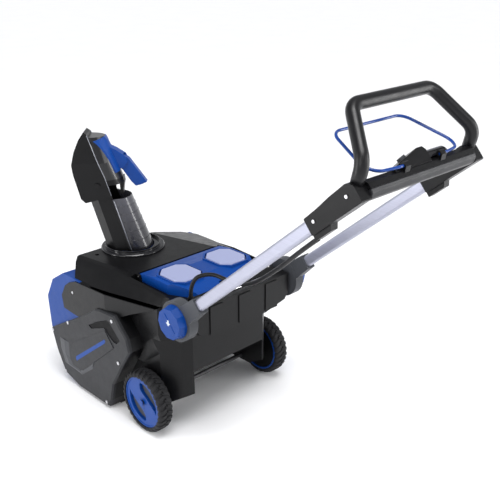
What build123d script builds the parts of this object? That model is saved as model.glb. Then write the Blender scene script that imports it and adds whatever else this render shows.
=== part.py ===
from build123d import *
import math
import os

# A cordless single-stage snow blower. Millimetres, +Z up, +Y to the operator, +X to the
# operator's left. Outlines below are (y, z) pairs measured from the wheel axle's line on the
# ground; axle_y moves them so that the origin lies under the middle of the whole machine.

os.makedirs("parts", exist_ok=True)

# ---------------------------------------------------------------- driving dimensions
axle_y = -107.0
wheel_r = 87.0
wheel_width = 45.0
wheel_inner_x = 195.0
rim_r = 72.0
axle_r = 6.0

running_gap = 0.05
free_gap = 0.3
skin = 3.5

auger_y = -265.0
auger_z = 150.0
chamber_r = 148.0
chamber_half = 206.0
shell_wall = 4.0
shell_half = 234.0
auger_r = 134.0
auger_shaft_r = 8.0
drum_r = 17.0

cover_inner_x = 234.3
cover_outer_x = 246.0
cover_panel_x = 248.0

motor_y = -88.0
motor_z = 250.0
motor_r = 38.0
motor_pulley_r = 15.0
auger_pulley_r = 60.0
idler_r = 14.0
belt_thick = 6.0
belt_inner_x = 216.0
belt_width = 16.0

body_half = 200.0
leg_half = 188.0
flare_half = 238.0
seam_slope = 0.055
hood_top = 398.0
lid_ledge = 378.0

lid_half = 143.0
lid_front_y = -113.0
lid_rear_y = 92.0
lid_axis_y = -104.0
lid_axis_z = 393.0

pivot_y = 117.4
pivot_z = 360.0
handle_angle = 40.3
ring_r = 53.5
ring_inner_x = 175.0
ring_outer_x = 203.0
button_r = 44.0
button_outer_x = 225.0
pin_r = 12.0
boss_r = 22.0
tube_x = 190.0
tube_wide = 20.0
tube_deep = 30.0
tube_wall = 1.6
tube_start = 88.0
tube_end = 640.0

grip_r = 13.0
loop_core_r = 9.0
bail_wire_r = 3.25
cable_r = 5.2
cable_exit_x = 140.0
cable_exit_y = 103.0
gland_r = 8.0
cable_start_z = 400.0

chute_x = 34.0
chute_y = -284.0
chute_yaw = 47.0
chute_bore_r = 62.0
collar_r = 80.0
flange_r = 92.0

# ---------------------------------------------------------------- planes
side = Plane(origin=(0, axle_y, 0), x_dir=(0, 1, 0), z_dir=(1, 0, 0))
ground = Plane(origin=(0, axle_y, 0), x_dir=(1, 0, 0), z_dir=(0, 0, 1))
behind = Plane(origin=(0, axle_y, 0), x_dir=(-1, 0, 0), z_dir=(0, 1, 0))

lean = math.radians(handle_angle)
arm_way = (0, math.cos(lean), math.sin(lean))
arm = Plane(
    origin=(0, axle_y + pivot_y, pivot_z),
    x_dir=(0, math.cos(lean), math.sin(lean)),
    z_dir=(1, 0, 0),
)

yaw = math.radians(chute_yaw)
lateral = (math.cos(yaw), math.sin(yaw), 0)
forward = (math.sin(yaw), -math.cos(yaw), 0)
chute_side = Plane(origin=(chute_x, axle_y + chute_y, 0), x_dir=forward, z_dir=(-lateral[0], -lateral[1], 0))


on_base = (Align.CENTER, Align.CENTER, Align.MIN)


def level(height):
    """A horizontal plane on the chute's axis; its x runs across the chute and its y backwards."""
    return Plane(origin=(chute_x, axle_y + chute_y, height), x_dir=lateral, z_dir=(0, 0, 1))


def seam(y):
    """Height of the joint between the hood and the lower body."""
    return 348.0 + (y + 283.0) * seam_slope


def place(x, y, z):
    """A point given from the wheel axle's line, in the model's own frame."""
    return (x, axle_y + y, z)


# ---------------------------------------------------------------- shared outlines
end_wall = [
    (-452, 248), (-412, 314), (-350, 352), (-222, 352), (-178, 275), (-146, 232),
    (-113, 150), (-130, 70), (-148, 6), (-300, 6), (-377, 23), (-406, 85), (-446, 149),
]
cover_outline = [
    (-430, 154), (-262, 250), (-180, 302), (-157, 308), (-92, 313), (-40, 262), (-30, 226),
    (-68, 170), (-118, 92), (-134, 34), (-146, 8), (-300, 6), (-372, 24), (-408, 88),
]
cover_panel = [(-324, 140), (-325, 76), (-268, 74), (-100, 215), (-136, 255)]
finger_recess = [
    (-218, 240), (-177, 266), (-130, 288), (-114, 288), (-68, 248), (-84, 234), (-100, 232), (-141, 260),
    (-205, 234),
]
finger_recess_deep = 3.2
cover_screws = [(-328, 207), (-419, 150), (-99, 296), (-83, 176), (-368, 31), (-156, 20)]

# ---------------------------------------------------------------- belt geometry
pulley_gap = math.hypot(motor_y - auger_y, motor_z - auger_z)
pulley_line = math.atan2(motor_z - auger_z, motor_y - auger_y)
tangent_turn = math.acos((auger_pulley_r - motor_pulley_r) / pulley_gap)

# the idler presses on the back of the belt's lower run
run_normal = (math.cos(pulley_line - tangent_turn), math.sin(pulley_line - tangent_turn))
run_out = (auger_pulley_r + motor_pulley_r) / 2 + belt_thick + 2 * free_gap + idler_r
idler_y = (auger_y + motor_y) / 2 + run_out * run_normal[0]
idler_z = (auger_z + motor_z) / 2 + run_out * run_normal[1]
idler_pin_r = 4.0

# ================================================================ auger housing
with BuildPart() as auger_shell:
    with BuildSketch(side.offset(chamber_half)):
        Polygon(*end_wall, align=None)
    extrude(amount=shell_half - chamber_half)
    with BuildSketch(side.offset(chamber_half + shell_wall)):
        Polygon(*cover_outline, align=None)
        offset(amount=-6)
    extrude(amount=shell_half - chamber_half, mode=Mode.SUBTRACT)
    with BuildSketch(side.offset(chamber_half + shell_wall)):
        Polygon(
            (-444, 246), (-409, 309), (-349, 347), (-226, 347), (-185, 285), (-200, 240), (-420, 160),
            align=None,
        )
    extrude(amount=shell_half - chamber_half - 2 * shell_wall, mode=Mode.SUBTRACT)
    mirror(about=Plane.YZ)
    with BuildSketch(side.offset(-chamber_half)):
        Polygon(
            (-452, 248), (-412, 314), (-350, 352), (-222, 352), (-178, 275), (-265, 150), (-265, 250),
            align=None,
        )
        with Locations((auger_y, auger_z)):
            Circle(chamber_r + shell_wall)
        Polygon((-190, 6), (-148, 6), (-148, 11), (-190, 42), align=None)
        with Locations((auger_y, auger_z)):
            Circle(chamber_r, mode=Mode.SUBTRACT)
        Polygon(
            (-480, -30), (-480, 243), (-448, 245), (-409, 309), (-348, 347), (-226, 347), (-190, 275),
            (-250, 150), (-188, 24), (-188, -30), mode=Mode.SUBTRACT, align=None,
        )
    extrude(amount=2 * chamber_half)
    with BuildSketch(Plane(origin=(chute_x, axle_y + chute_y, 347))):
        Circle(chute_bore_r + 4)
    extrude(amount=hood_top - 347)
    with BuildSketch(Plane(origin=(chute_x, axle_y + chute_y, 330))):
        Circle(chute_bore_r)
    extrude(amount=90, mode=Mode.SUBTRACT)
    with BuildSketch(side.offset(-shell_half - 1)):
        with Locations((auger_y, auger_z)):
            Circle(20)
    extrude(amount=2 * shell_half + 2, mode=Mode.SUBTRACT)
    # the idler's stub shaft on the end wall
    with BuildSketch(side.offset(chamber_half + shell_wall)):
        with Locations((idler_y, idler_z)):
            Circle(9)
    extrude(amount=belt_inner_x - chamber_half - shell_wall - free_gap)
    with BuildSketch(side.offset(chamber_half + shell_wall)):
        with Locations((idler_y, idler_z)):
            Circle(idler_pin_r)
    extrude(amount=23)
auger_shell.part.label = "auger_shell"
export_step(auger_shell.part, "parts/auger_shell.step")

with BuildPart() as scraper_bar:
    with BuildSketch(side.offset(-chamber_half + 2)):
        Polygon((-198, 0), (-150, 0), (-149, 6), (-196, 6), (-202, 3), align=None)
    extrude(amount=2 * chamber_half - 4)
scraper_bar.part.label = "scraper_bar"
export_step(scraper_bar.part, "parts/scraper_bar.step")

with BuildPart(side.offset(-shell_half)) as bearings:
    for along in (shell_half - chamber_half - shell_wall, shell_half + chamber_half - 8):
        with Locations((auger_y, auger_z, along)):
            Cylinder(20, 12, align=on_base)
            Cylinder(auger_shaft_r + running_gap, 12, align=on_base, mode=Mode.SUBTRACT)
bearings.part.label = "auger_bearings"
export_step(bearings.part, "parts/auger_bearings.step")

# ================================================================ auger
with BuildPart(side.offset(-222)) as auger_shaft:
    with Locations((auger_y, auger_z, 0)):
        Cylinder(auger_shaft_r, 458, align=on_base)
auger_shaft.part.label = "auger_shaft"
export_step(auger_shaft.part, "parts/auger_shaft.step")

flight_inner_x = 38.0
flight_outer_x = 196.0
flight_steps = 8
flight_turn = 200.0
flight_thick = 11.0
flight_r = 128.0

with BuildPart() as auger_flights:
    with BuildSketch(side.offset(-flight_outer_x - 2)):
        with Locations((auger_y, auger_z)):
            Circle(drum_r)
            Circle(auger_shaft_r, mode=Mode.SUBTRACT)
    extrude(amount=2 * flight_outer_x + 4)
    for start_angle in (0, 180):
        with BuildPart(mode=Mode.PRIVATE) as flight:
            for step in range(flight_steps + 1):
                along = flight_inner_x + (flight_outer_x - flight_inner_x) * step / flight_steps
                angle = start_angle + flight_turn * step / flight_steps
                outward = (0, math.cos(math.radians(angle)), math.sin(math.radians(angle)))
                across_flight = Plane(origin=place(along, auger_y, auger_z), x_dir=outward, z_dir=(1, 0, 0))
                with BuildSketch(across_flight):
                    with Locations(((drum_r - 3 + flight_r) / 2, 0)):
                        Rectangle(flight_r - drum_r + 3, flight_thick)
            loft(ruled=True)
        add(flight.part)
        mirror(flight.part, about=Plane.YZ)
auger_flights.part.label = "auger_flights"
export_step(auger_flights.part, "parts/auger_flights.step")

with BuildPart() as auger_paddles:
    with BuildSketch(side.offset(-flight_inner_x + free_gap)):
        with Locations((auger_y, auger_z)):
            Rectangle(2 * auger_r, 9)
            Circle(drum_r + 4)
            Circle(drum_r, mode=Mode.SUBTRACT)
    extrude(amount=2 * flight_inner_x - 2 * free_gap)
auger_paddles.part.label = "auger_paddles"
export_step(auger_paddles.part, "parts/auger_paddles.step")

# ================================================================ belt drive
def belt_outline(grow):
    """The region inside a belt that stands off both pulleys by grow."""
    corners = []
    for turn in (tangent_turn, -tangent_turn):
        normal = (math.cos(pulley_line + turn), math.sin(pulley_line + turn))
        big = (auger_y + (auger_pulley_r + grow) * normal[0], auger_z + (auger_pulley_r + grow) * normal[1])
        small = (motor_y + (motor_pulley_r + grow) * normal[0], motor_z + (motor_pulley_r + grow) * normal[1])
        corners.append((big, small))
    with BuildSketch() as region:
        with Locations((auger_y, auger_z)):
            Circle(auger_pulley_r + grow)
        with Locations((motor_y, motor_z)):
            Circle(motor_pulley_r + grow)
        Polygon(corners[0][0], corners[0][1], corners[1][1], corners[1][0], align=None)
    return region.sketch


with BuildPart() as drive_belt:
    with BuildSketch(side.offset(belt_inner_x)):
        add(belt_outline(free_gap + belt_thick))
        add(belt_outline(free_gap), mode=Mode.SUBTRACT)
    extrude(amount=belt_width)
drive_belt.part.label = "drive_belt"
export_step(drive_belt.part, "parts/drive_belt.step")

with BuildPart(side.offset(belt_inner_x)) as auger_pulley:
    with Locations((auger_y, auger_z, 0)):
        Cylinder(auger_pulley_r, belt_width, align=on_base)
        Cylinder(auger_shaft_r, belt_width, align=on_base, mode=Mode.SUBTRACT)
    with Locations((auger_y, auger_z, 4)):
        with PolarLocations(36, 6):
            Cylinder(11, belt_width, align=on_base, mode=Mode.SUBTRACT)
auger_pulley.part.label = "auger_pulley"
export_step(auger_pulley.part, "parts/auger_pulley.step")

motor_shaft_r = 5.0
with BuildPart(side.offset(168)) as motor_shaft:
    with Locations((motor_y, motor_z, 0)):
        Cylinder(motor_shaft_r, 68, align=on_base)
motor_shaft.part.label = "motor_shaft"
export_step(motor_shaft.part, "parts/motor_shaft.step")

with BuildPart(side.offset(belt_inner_x)) as motor_pulley:
    with Locations((motor_y, motor_z, 0)):
        Cylinder(motor_pulley_r, belt_width, align=on_base)
        Cylinder(motor_shaft_r, belt_width, align=on_base, mode=Mode.SUBTRACT)
motor_pulley.part.label = "motor_pulley"
export_step(motor_pulley.part, "parts/motor_pulley.step")

with BuildPart(side.offset(64)) as motor:
    with Locations((motor_y, motor_z, 0)):
        Cylinder(motor_r, 126, align=on_base)
    with Locations((motor_y, motor_z, 126)):
        Cylinder(22, 6.5, align=on_base)
    with Locations((motor_y, motor_z, 96)):
        Cylinder(motor_shaft_r + running_gap, 40, align=on_base, mode=Mode.SUBTRACT)
    with Locations((motor_y, motor_z, 16)):
        with PolarLocations(motor_r, 12):
            Box(5, 5, 84, align=on_base, mode=Mode.SUBTRACT)
motor.part.label = "motor"
export_step(motor.part, "parts/motor.step")

with BuildPart(side.offset(belt_inner_x)) as idler_pulley:
    with Locations((idler_y, idler_z, 0)):
        Cylinder(idler_r, belt_width, align=on_base)
        Cylinder(idler_pin_r + running_gap, belt_width, align=on_base, mode=Mode.SUBTRACT)
idler_pulley.part.label = "idler_pulley"
export_step(idler_pulley.part, "parts/idler_pulley.step")

# ================================================================ lower body
crease_low = (-95, 191)
crease_high = (39, 290)


def core_block(inset):
    """The body's middle, behind the auger chamber, drawn inset from its outer faces."""
    with BuildPart() as block:
        with BuildSketch(side.offset(-body_half + inset)):
            Polygon(
                (-168 + inset, 200), (-168 + inset, seam(-168)), (89 - inset, seam(89)),
                (89 - inset, 172 + inset),
                (-60, 172 + inset), (-120, 172 + inset), align=None,
            )
        extrude(amount=2 * (body_half - inset))
        # below the lower crease the sides lean in to the wheel arch
        for hand in (1, -1):
            along = (0, crease_high[0] - crease_low[0], crease_high[1] - crease_low[1])
            fall = (-12 * hand, 26, -36)
            normal = (along[1] * fall[2] - along[2] * fall[1], along[2] * fall[0], -along[1] * fall[0])
            sign = 1 if normal[0] * hand > 0 else -1
            normal = (sign * normal[0], sign * normal[1], sign * normal[2])
            lean_face = Plane(
                origin=place(hand * (body_half - inset), crease_low[0], crease_low[1]), x_dir=along,
                z_dir=normal,
            )
            with BuildSketch(lean_face):
                Rectangle(700, 700)
            extrude(amount=60, mode=Mode.SUBTRACT)
    return block.part


def corner_cuts(inset):
    """Plan-view wedges that narrow the body for the handle rings and round the legs' rear corners."""
    with BuildPart() as cuts:
        for hand in (1, -1):
            with BuildSketch(ground.offset(40)):
                Polygon(
                    (hand * (body_half + 2), 38 - inset), (hand * (body_half + 2), 160),
                    (hand * (166 - inset), 160), (hand * (166 - inset), 62 - inset), align=None,
                )
            extrude(amount=400)
            with BuildSketch(ground.offset(40)):
                Polygon(
                    (hand * (leg_half + 14), 8 - inset), (hand * (leg_half + 14), 160),
                    (hand * (128 - inset), 160),
                    (hand * (128 - inset), 89 - inset), (hand * (150 - inset), 72 - inset),
                    (hand * (176 - inset), 40 - inset), align=None,
                )
            extrude(amount=232)
    return cuts.part


rear_outline = [
    (60, 262), (60, seam(60)), (118.3, seam(118.3)), (118.3, 386), (150, 386), (150, 297), (89, 262),
]

with BuildPart() as rear_block:
    with BuildSketch(side.offset(-165)):
        Polygon(*rear_outline, align=None)
    extrude(amount=330)
    with BuildSketch(behind.offset(60)):
        for hand in (1, -1):
            Polygon(
                (hand * 166, 331), (hand * 152, 312), (hand * 74, 296), (hand * 74, 250), (hand * 166, 250),
                align=None,
            )
    extrude(amount=100, mode=Mode.SUBTRACT)

with BuildPart() as rear_hollow:
    with BuildSketch(side.offset(-165 + skin)):
        Polygon(
            (50, 268), (50, 390), (118.3, 390), (118.3, 382), (146.5, 382), (146.5, 300), (89, 267),
            align=None,
        )
    extrude(amount=330 - 2 * skin)
    with BuildSketch(behind.offset(40)):
        for hand in (1, -1):
            Polygon(
                (hand * 166, 338), (hand * 148, 317), (hand * 72, 301), (hand * 72, 250), (hand * 166, 250),
                align=None,
            )
    extrude(amount=120, mode=Mode.SUBTRACT)

flare_outline = [
    (-362, 281), (-338, 319), (-315, 335), (-283, 348), (42, seam(42)), (-53, 323), (-110, 293),
    (-160, 262), (-230, 240), (-306, 240), (-356, 243),
]

with BuildPart() as flare:
    with BuildSketch(side.offset(-flare_half)):
        Polygon(*flare_outline, align=None)
    extrude(amount=2 * flare_half)
    with BuildSketch(ground.offset(150)):
        for hand in (1, -1):
            Polygon(
                (hand * 260, -140), (hand * flare_half, -140), (hand * 208, 42), (hand * 208, 160),
                (hand * 260, 160), align=None,
            )
    extrude(amount=300, mode=Mode.SUBTRACT)
    for start_x in (shell_half, -shell_half - 20):
        with BuildSketch(side.offset(start_x)):
            Polygon(*cover_outline, align=None)
            offset(amount=free_gap)
        extrude(amount=20, mode=Mode.SUBTRACT)

with BuildPart() as flare_hollow:
    with BuildSketch(side.offset(-shell_half - free_gap)):
        Polygon(
            (-380, 200), (-380, 400), (60, 400), (40, seam(40) - 1), (-53, 323 + skin), (-110, 293 + skin),
            (-165, 262 + skin), (-165, 200), align=None,
        )
    extrude(amount=2 * shell_half + 2 * free_gap)
    with BuildSketch(ground.offset(150)):
        for hand in (1, -1):
            Polygon(
                (hand * 260, -140), (hand * (shell_half + free_gap), -140), (hand * 204, 42),
                (hand * 204, 160),
                (hand * 260, 160), align=None,
            )
    extrude(amount=300, mode=Mode.SUBTRACT)

with BuildPart() as legs:
    with BuildSketch(side.offset(126)):
        Polygon((-60, 230), (-60, 74), (34, 74), (89, 106), (89, 230), align=None)
    extrude(amount=leg_half - 126)
    mirror(about=Plane.YZ)

with BuildPart() as leg_hollows:
    with BuildSketch(side.offset(126 + skin)):
        Polygon((-60 + skin, 240), (-60 + skin, 60), (89 - skin, 60), (89 - skin, 240), align=None)
    extrude(amount=leg_half - 126 - 2 * skin)
    mirror(about=Plane.YZ)

with BuildPart() as belt_boss:
    with BuildSketch(side.offset(body_half - 6)):
        Polygon(*cover_outline, align=None)
        Polygon(
            (-500, 400), (-222, 353), (-177.6, 275), (-145.6, 232), (-112.6, 150), (-129.6, 70), (-147.6, 0),
            (-500, 0), mode=Mode.SUBTRACT, align=None,
        )
    extrude(amount=shell_half - body_half + 6)
    mirror(about=Plane.YZ)

with BuildPart() as belt_pocket:
    with BuildSketch(side.offset(body_half + 3)):
        Polygon(*cover_outline, align=None)
        offset(amount=-6)
    extrude(amount=60)
    mirror(about=Plane.YZ)

with BuildPart() as lower_body:
    add(core_block(0))
    add(legs.part)
    add(corner_cuts(0), mode=Mode.SUBTRACT)
    add(rear_block.part)
    add(flare.part)
    add(belt_boss.part)
    # hollow it out, open at the top for the hood and under each leg for the axle
    inner = core_block(skin) - corner_cuts(skin)
    add(inner, mode=Mode.SUBTRACT)
    with BuildPart(mode=Mode.PRIVATE) as top_opening:
        with BuildSketch(ground.offset(330)):
            Polygon(
                (-body_half + skin, -160), (body_half - skin, -160), (body_half - skin, 30), (160, 66),
                (160, 86), (-160, 86), (-160, 66), (-body_half + skin, 30), align=None,
            )
        extrude(amount=60)
    add(top_opening.part, mode=Mode.SUBTRACT)
    add(leg_hollows.part - corner_cuts(skin), mode=Mode.SUBTRACT)
    add(rear_hollow.part, mode=Mode.SUBTRACT)
    add(flare_hollow.part, mode=Mode.SUBTRACT)
    add(belt_pocket.part, mode=Mode.SUBTRACT)
    # clear the auger chamber, its roof and its end walls
    with BuildSketch(side.offset(-shell_half - free_gap)):
        with Locations((auger_y, auger_z)):
            Circle(chamber_r + shell_wall + free_gap)
        Polygon(
            (-470, 0), (-470, 420), (-222, 420), (-222, 352.5), (-177.5, 275.3), (-145.6, 232.2),
            (-145, 150), (-200, 0), align=None,
        )
    extrude(amount=2 * shell_half + 2 * free_gap, mode=Mode.SUBTRACT)
    # pads across the rear panel
    with BuildSketch(behind.offset(150)):
        for centre_x, width in ((-98, 44), (0, 42), (98, 44)):
            with Locations((centre_x, 342)):
                Rectangle(width, 78)
    extrude(amount=3)
    # bosses that carry the handle pins
    with BuildSketch(side.offset(150)):
        with Locations((pivot_y, pivot_z)):
            Circle(boss_r)
        with Locations((pivot_y, pivot_z - 9)):
            Rectangle(60, 26, align=(Align.MAX, Align.CENTER))
    extrude(amount=ring_inner_x - free_gap - 150)
    mirror(about=Plane.YZ)
    with BuildSketch(side.offset(140)):
        with Locations((pivot_y, pivot_z)):
            Circle(pin_r)
    extrude(amount=60, mode=Mode.SUBTRACT)
    with BuildSketch(side.offset(-200)):
        with Locations((pivot_y, pivot_z)):
            Circle(pin_r)
    extrude(amount=60, mode=Mode.SUBTRACT)
    # holes for the wheel axle and the motor's shaft
    with BuildSketch(side.offset(-leg_half - 1)):
        with Locations((0, wheel_r)):
            Circle(axle_r)
    extrude(amount=2 * leg_half + 2, mode=Mode.SUBTRACT)
    with BuildSketch(side.offset(190)):
        with Locations((motor_y, motor_z)):
            Circle(8)
    extrude(amount=20, mode=Mode.SUBTRACT)
lower_body.part.label = "lower_body"
export_step(lower_body.part, "parts/lower_body.step")

# ================================================================ hood
hood_base = [(194, -336), (238, -285), (238, -140), (208, 42), (167.5, 61), (165, 118)]
hood_crown = [(189, -343), (196, -334), (166, -150), (163, 30), (161, 61), (160, 116)]


hood_foot = 340.0
# how far in the roof's edge has come at three heights below the crown, so that it reads as rounded
hood_rounding = ((12.0, 0.0), (3.5, 3.5), (0.0, 12.0))


# the roof falls away on the right of the chute, below the plane through these three points
roof_fall = [(-70, -334, 398), (-129, -120, 398), (-196, -334, 366)]


def hood_outline(height, inward):
    """The hood's half outline at a height, between its foot and its crown, moved in by inward."""
    share = (height - hood_foot) / (hood_top - hood_foot)
    return [
        (foot[0] + (crown[0] - foot[0]) * share - inward, foot[1] + (crown[1] - foot[1]) * share)
        for foot, crown in zip(hood_base, hood_crown)
    ]


def hood_block(inset):
    """The hood's outer form, drawn inset; ruled between its foot and its rounded crown."""
    sections = [(hood_foot, 0.0)] + [(hood_top - drop, inward) for drop, inward in hood_rounding]
    with BuildPart() as block:
        for height, inward in sections:
            right = [(x - inset, y) for x, y in hood_outline(height, inward)]
            right[0] = (right[0][0], right[0][1] + inset)
            right[-1] = (right[-1][0], right[-1][1] - inset)
            left = [(-x, y) for x, y in reversed(right)]
            lowered = 0 if height == hood_foot else inset
            with BuildSketch(ground.offset(height - lowered)):
                Polygon(*right, *left, align=None)
        loft(ruled=True)
        with BuildSketch(side.offset(-260)):
            Polygon((-400, seam(-400)), (200, seam(200)), (200, 300), (-400, 300), align=None)
            Polygon(
                (60, hood_top + 1 - inset), (60, hood_top - inset), (125, 386 - inset), (125, 410), align=None
            )
            Polygon(
                (-400, hood_top - inset), (-335 + inset, hood_top - inset), (-346, 390), (-346, 300),
                (-400, 300), align=None,
            )
        extrude(amount=520, mode=Mode.SUBTRACT)
        start, rear, low = [Vector(*place(x, y, z - inset)) for x, y, z in roof_fall]
        upward = (low - start).cross(rear - start).normalized()
        if upward.Z < 0:
            upward = -upward
        with BuildSketch(Plane(origin=start, z_dir=upward)):
            Rectangle(900, 900)
        extrude(amount=120, mode=Mode.SUBTRACT)
    return block.part


with BuildPart() as hood_hollow:
    add(hood_block(skin))
    with BuildSketch(side.offset(-170)):
        Polygon(
            (-119, lid_ledge - skin), (lid_rear_y + 6, lid_ledge - skin), (lid_rear_y + 6, 420), (-119, 420),
            align=None,
        )
    extrude(amount=340, mode=Mode.SUBTRACT)

with BuildPart() as hood:
    add(hood_block(0))
    add(hood_hollow.part, mode=Mode.SUBTRACT)
    # the ledge that the lid's skirt stands on
    with BuildSketch(side.offset(-167)):
        Polygon(
            (-114.5, lid_ledge), (lid_rear_y + 1.5, lid_ledge), (lid_rear_y + 1.5, 420), (-114.5, 420),
            align=None,
        )
    extrude(amount=334, mode=Mode.SUBTRACT)
    with BuildSketch(ground.offset(360)):
        with Locations((0, -19)):
            RectangleRounded(250, 156, 8)
    extrude(amount=60, mode=Mode.SUBTRACT)
    # ears for the lid's hinge pin
    for ear_x in (-lid_half - 6.4, lid_half + 0.4):
        with BuildSketch(side.offset(ear_x)):
            with Locations((lid_axis_y, lid_axis_z)):
                Circle(5.5)
            Polygon(
                (-114.5, lid_axis_z + 5), (lid_axis_y, lid_axis_z + 5.5), (lid_axis_y + 5.5, lid_axis_z),
                (lid_axis_y + 9, lid_ledge - 1), (-114.5, lid_ledge - 1), align=None,
            )
            with Locations((lid_axis_y, lid_axis_z)):
                Circle(2.5, mode=Mode.SUBTRACT)
        extrude(amount=6)
    # chute opening, round the housing's neck
    with BuildSketch(Plane(origin=(chute_x, axle_y + chute_y, 330))):
        Circle(chute_bore_r + 4 + free_gap)
    extrude(amount=90, mode=Mode.SUBTRACT)
    # a drain hole beside the chute and the gland of the cable
    with BuildSketch(Plane(origin=place(148, -300, 380))):
        Circle(6)
    extrude(amount=40, mode=Mode.SUBTRACT)
    with BuildSketch(Plane(origin=place(cable_exit_x, cable_exit_y, 382))):
        Circle(gland_r)
    extrude(amount=cable_start_z - 382)
    # clear the auger housing's roof and the bosses of the handle pins
    with BuildSketch(side.offset(-shell_half - free_gap)):
        Polygon((-420, 300), (-420, 352.4), (-221, 352.4), (-221, 300), align=None)
    extrude(amount=2 * (shell_half + free_gap), mode=Mode.SUBTRACT)
    with BuildSketch(side.offset(-180)):
        with Locations((pivot_y, pivot_z)):
            Circle(boss_r)
    extrude(amount=360, mode=Mode.SUBTRACT)
hood.part.label = "hood"
export_step(hood.part, "parts/hood.step")

# ================================================================ battery lid and bay
with BuildPart() as lid_outer:
    with BuildSketch(side.offset(-lid_half)):
        Polygon(
            (-113, 382), (-113, 393), (-105, 399), (-70, 404), (-40, 409), (30, 409), (58, 403), (84, 395),
            (lid_rear_y, 388),
            (lid_rear_y, lid_ledge + free_gap), (-100, lid_ledge + free_gap), (-100, 382), align=None,
        )
    extrude(amount=2 * lid_half)
    with BuildSketch(ground.offset(370)):
        for hand in (1, -1):
            Polygon((hand * 144, 14), (hand * 144, 100), (hand * 104, 100), (hand * 104, 93), align=None)
    extrude(amount=60, mode=Mode.SUBTRACT)
    chamfer(lid_outer.edges().filter_by(Axis.Y).group_by(Axis.Z)[-1], 4)

with BuildPart() as lid_hollow:
    with BuildSketch(side.offset(-lid_half + skin)):
        Polygon(
            (-109, 370), (-109, 391), (-103, 395.5), (-70, 400.5), (-40, 405.5), (30, 405.5), (58, 399.5),
            (84, 391), (89, 386),
            (89, 370), align=None,
        )
    extrude(amount=2 * (lid_half - skin))
    with BuildSketch(ground.offset(365)):
        for hand in (1, -1):
            Polygon((hand * 144, 6), (hand * 144, 100), (hand * 96, 100), align=None)
    extrude(amount=60, mode=Mode.SUBTRACT)

window_x = 80.0
window_y = -8.0


def window_outline(grow):
    """A long hexagon with clipped corners, the plan of one lid window."""
    return [
        (-26 - grow * 0.6, -57 - grow), (26 + grow * 0.6, -57 - grow), (49 + grow, -34 - grow * 0.4),
        (49 + grow, 30 + grow * 0.4), (28 + grow * 0.6, 53 + grow), (-28 - grow * 0.6, 53 + grow),
        (-49 - grow, 30 + grow * 0.4), (-49 - grow, -34 - grow * 0.4),
    ]


with BuildPart() as battery_lid:
    add(lid_outer.part)
    add(lid_hollow.part, mode=Mode.SUBTRACT)
    for hand in (1, -1):
        with BuildSketch(Plane(origin=place(hand * window_x, window_y, 396))):
            Polygon(*window_outline(5), align=None)
            Polygon(*window_outline(0), mode=Mode.SUBTRACT, align=None)
        extrude(amount=16)
        with BuildSketch(Plane(origin=place(hand * window_x, window_y, 396))):
            Polygon(*window_outline(0), align=None)
        extrude(amount=20, mode=Mode.SUBTRACT)
    with BuildSketch(side.offset(-lid_half)):
        with Locations((lid_axis_y, lid_axis_z)):
            Circle(2.5 + running_gap)
    extrude(amount=2 * lid_half, mode=Mode.SUBTRACT)
    # the latch's recess at the rear
    with BuildSketch(Plane(origin=place(0, 86, 381))):
        Rectangle(46.8, 20.8)
    extrude(amount=30, mode=Mode.SUBTRACT)
battery_lid.part.label = "battery_lid"
export_step(battery_lid.part, "parts/battery_lid.step")

window_shell = 3.0
with BuildPart() as lid_windows:
    for hand in (1, -1):
        for drop, mode in ((0, Mode.ADD), (window_shell, Mode.SUBTRACT)):
            with BuildPart(mode=Mode.PRIVATE) as pane:
                for height, grow in ((400 - drop, -drop), (414 - drop, -5 - drop)):
                    with BuildSketch(Plane(origin=place(hand * window_x, window_y, height))):
                        Polygon(*window_outline(grow), align=None)
                loft(ruled=True)
            add(pane.part, mode=mode)
lid_windows.part.label = "lid_windows"
export_step(lid_windows.part, "parts/lid_windows.step")

with BuildPart(side.offset(-lid_half - 8)) as lid_hinge_pin:
    with Locations((lid_axis_y, lid_axis_z, 0)):
        Cylinder(2.5, 2 * lid_half + 16, align=on_base)
        Cylinder(4.5, 1.5, align=on_base)
lid_hinge_pin.part.label = "lid_hinge_pin"
export_step(lid_hinge_pin.part, "parts/lid_hinge_pin.step")

with BuildPart() as lid_latch:
    with BuildSketch(side.offset(-23)):
        Polygon((80.5, 382), (80.5, 397), (83, 399), (86, 399), (92.5, 391), (92.5, 382), align=None)
    extrude(amount=46)
lid_latch.part.label = "lid_latch"
export_step(lid_latch.part, "parts/lid_latch.step")

bay_floor = 296.0
with BuildPart() as battery_bay:
    with BuildSketch(ground.offset(bay_floor)):
        with Locations((0, -19)):
            Rectangle(249, 155)
    extrude(amount=lid_ledge - skin - bay_floor)
    with BuildSketch(ground.offset(bay_floor + 3)):
        with Locations((-62.3, -19), (62.3, -19)):
            Rectangle(118.4, 149)
    extrude(amount=100, mode=Mode.SUBTRACT)
battery_bay.part.label = "battery_bay"
export_step(battery_bay.part, "parts/battery_bay.step")

for hand, pack_name in ((1, "left_battery"), (-1, "right_battery")):
    with BuildPart() as battery:
        with BuildSketch(Plane(origin=place(hand * 62.3, -19, bay_floor + 3))):
            RectangleRounded(114, 144, 8)
        extrude(amount=62)
        chamfer(battery.edges().group_by(Axis.Z)[-1], 3)
        with BuildSketch(Plane(origin=place(hand * 62.3, 4, bay_floor + 65))):
            RectangleRounded(70, 40, 6)
        extrude(amount=8)
    battery.part.label = pack_name
    export_step(battery.part, "parts/" + pack_name + ".step")

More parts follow.
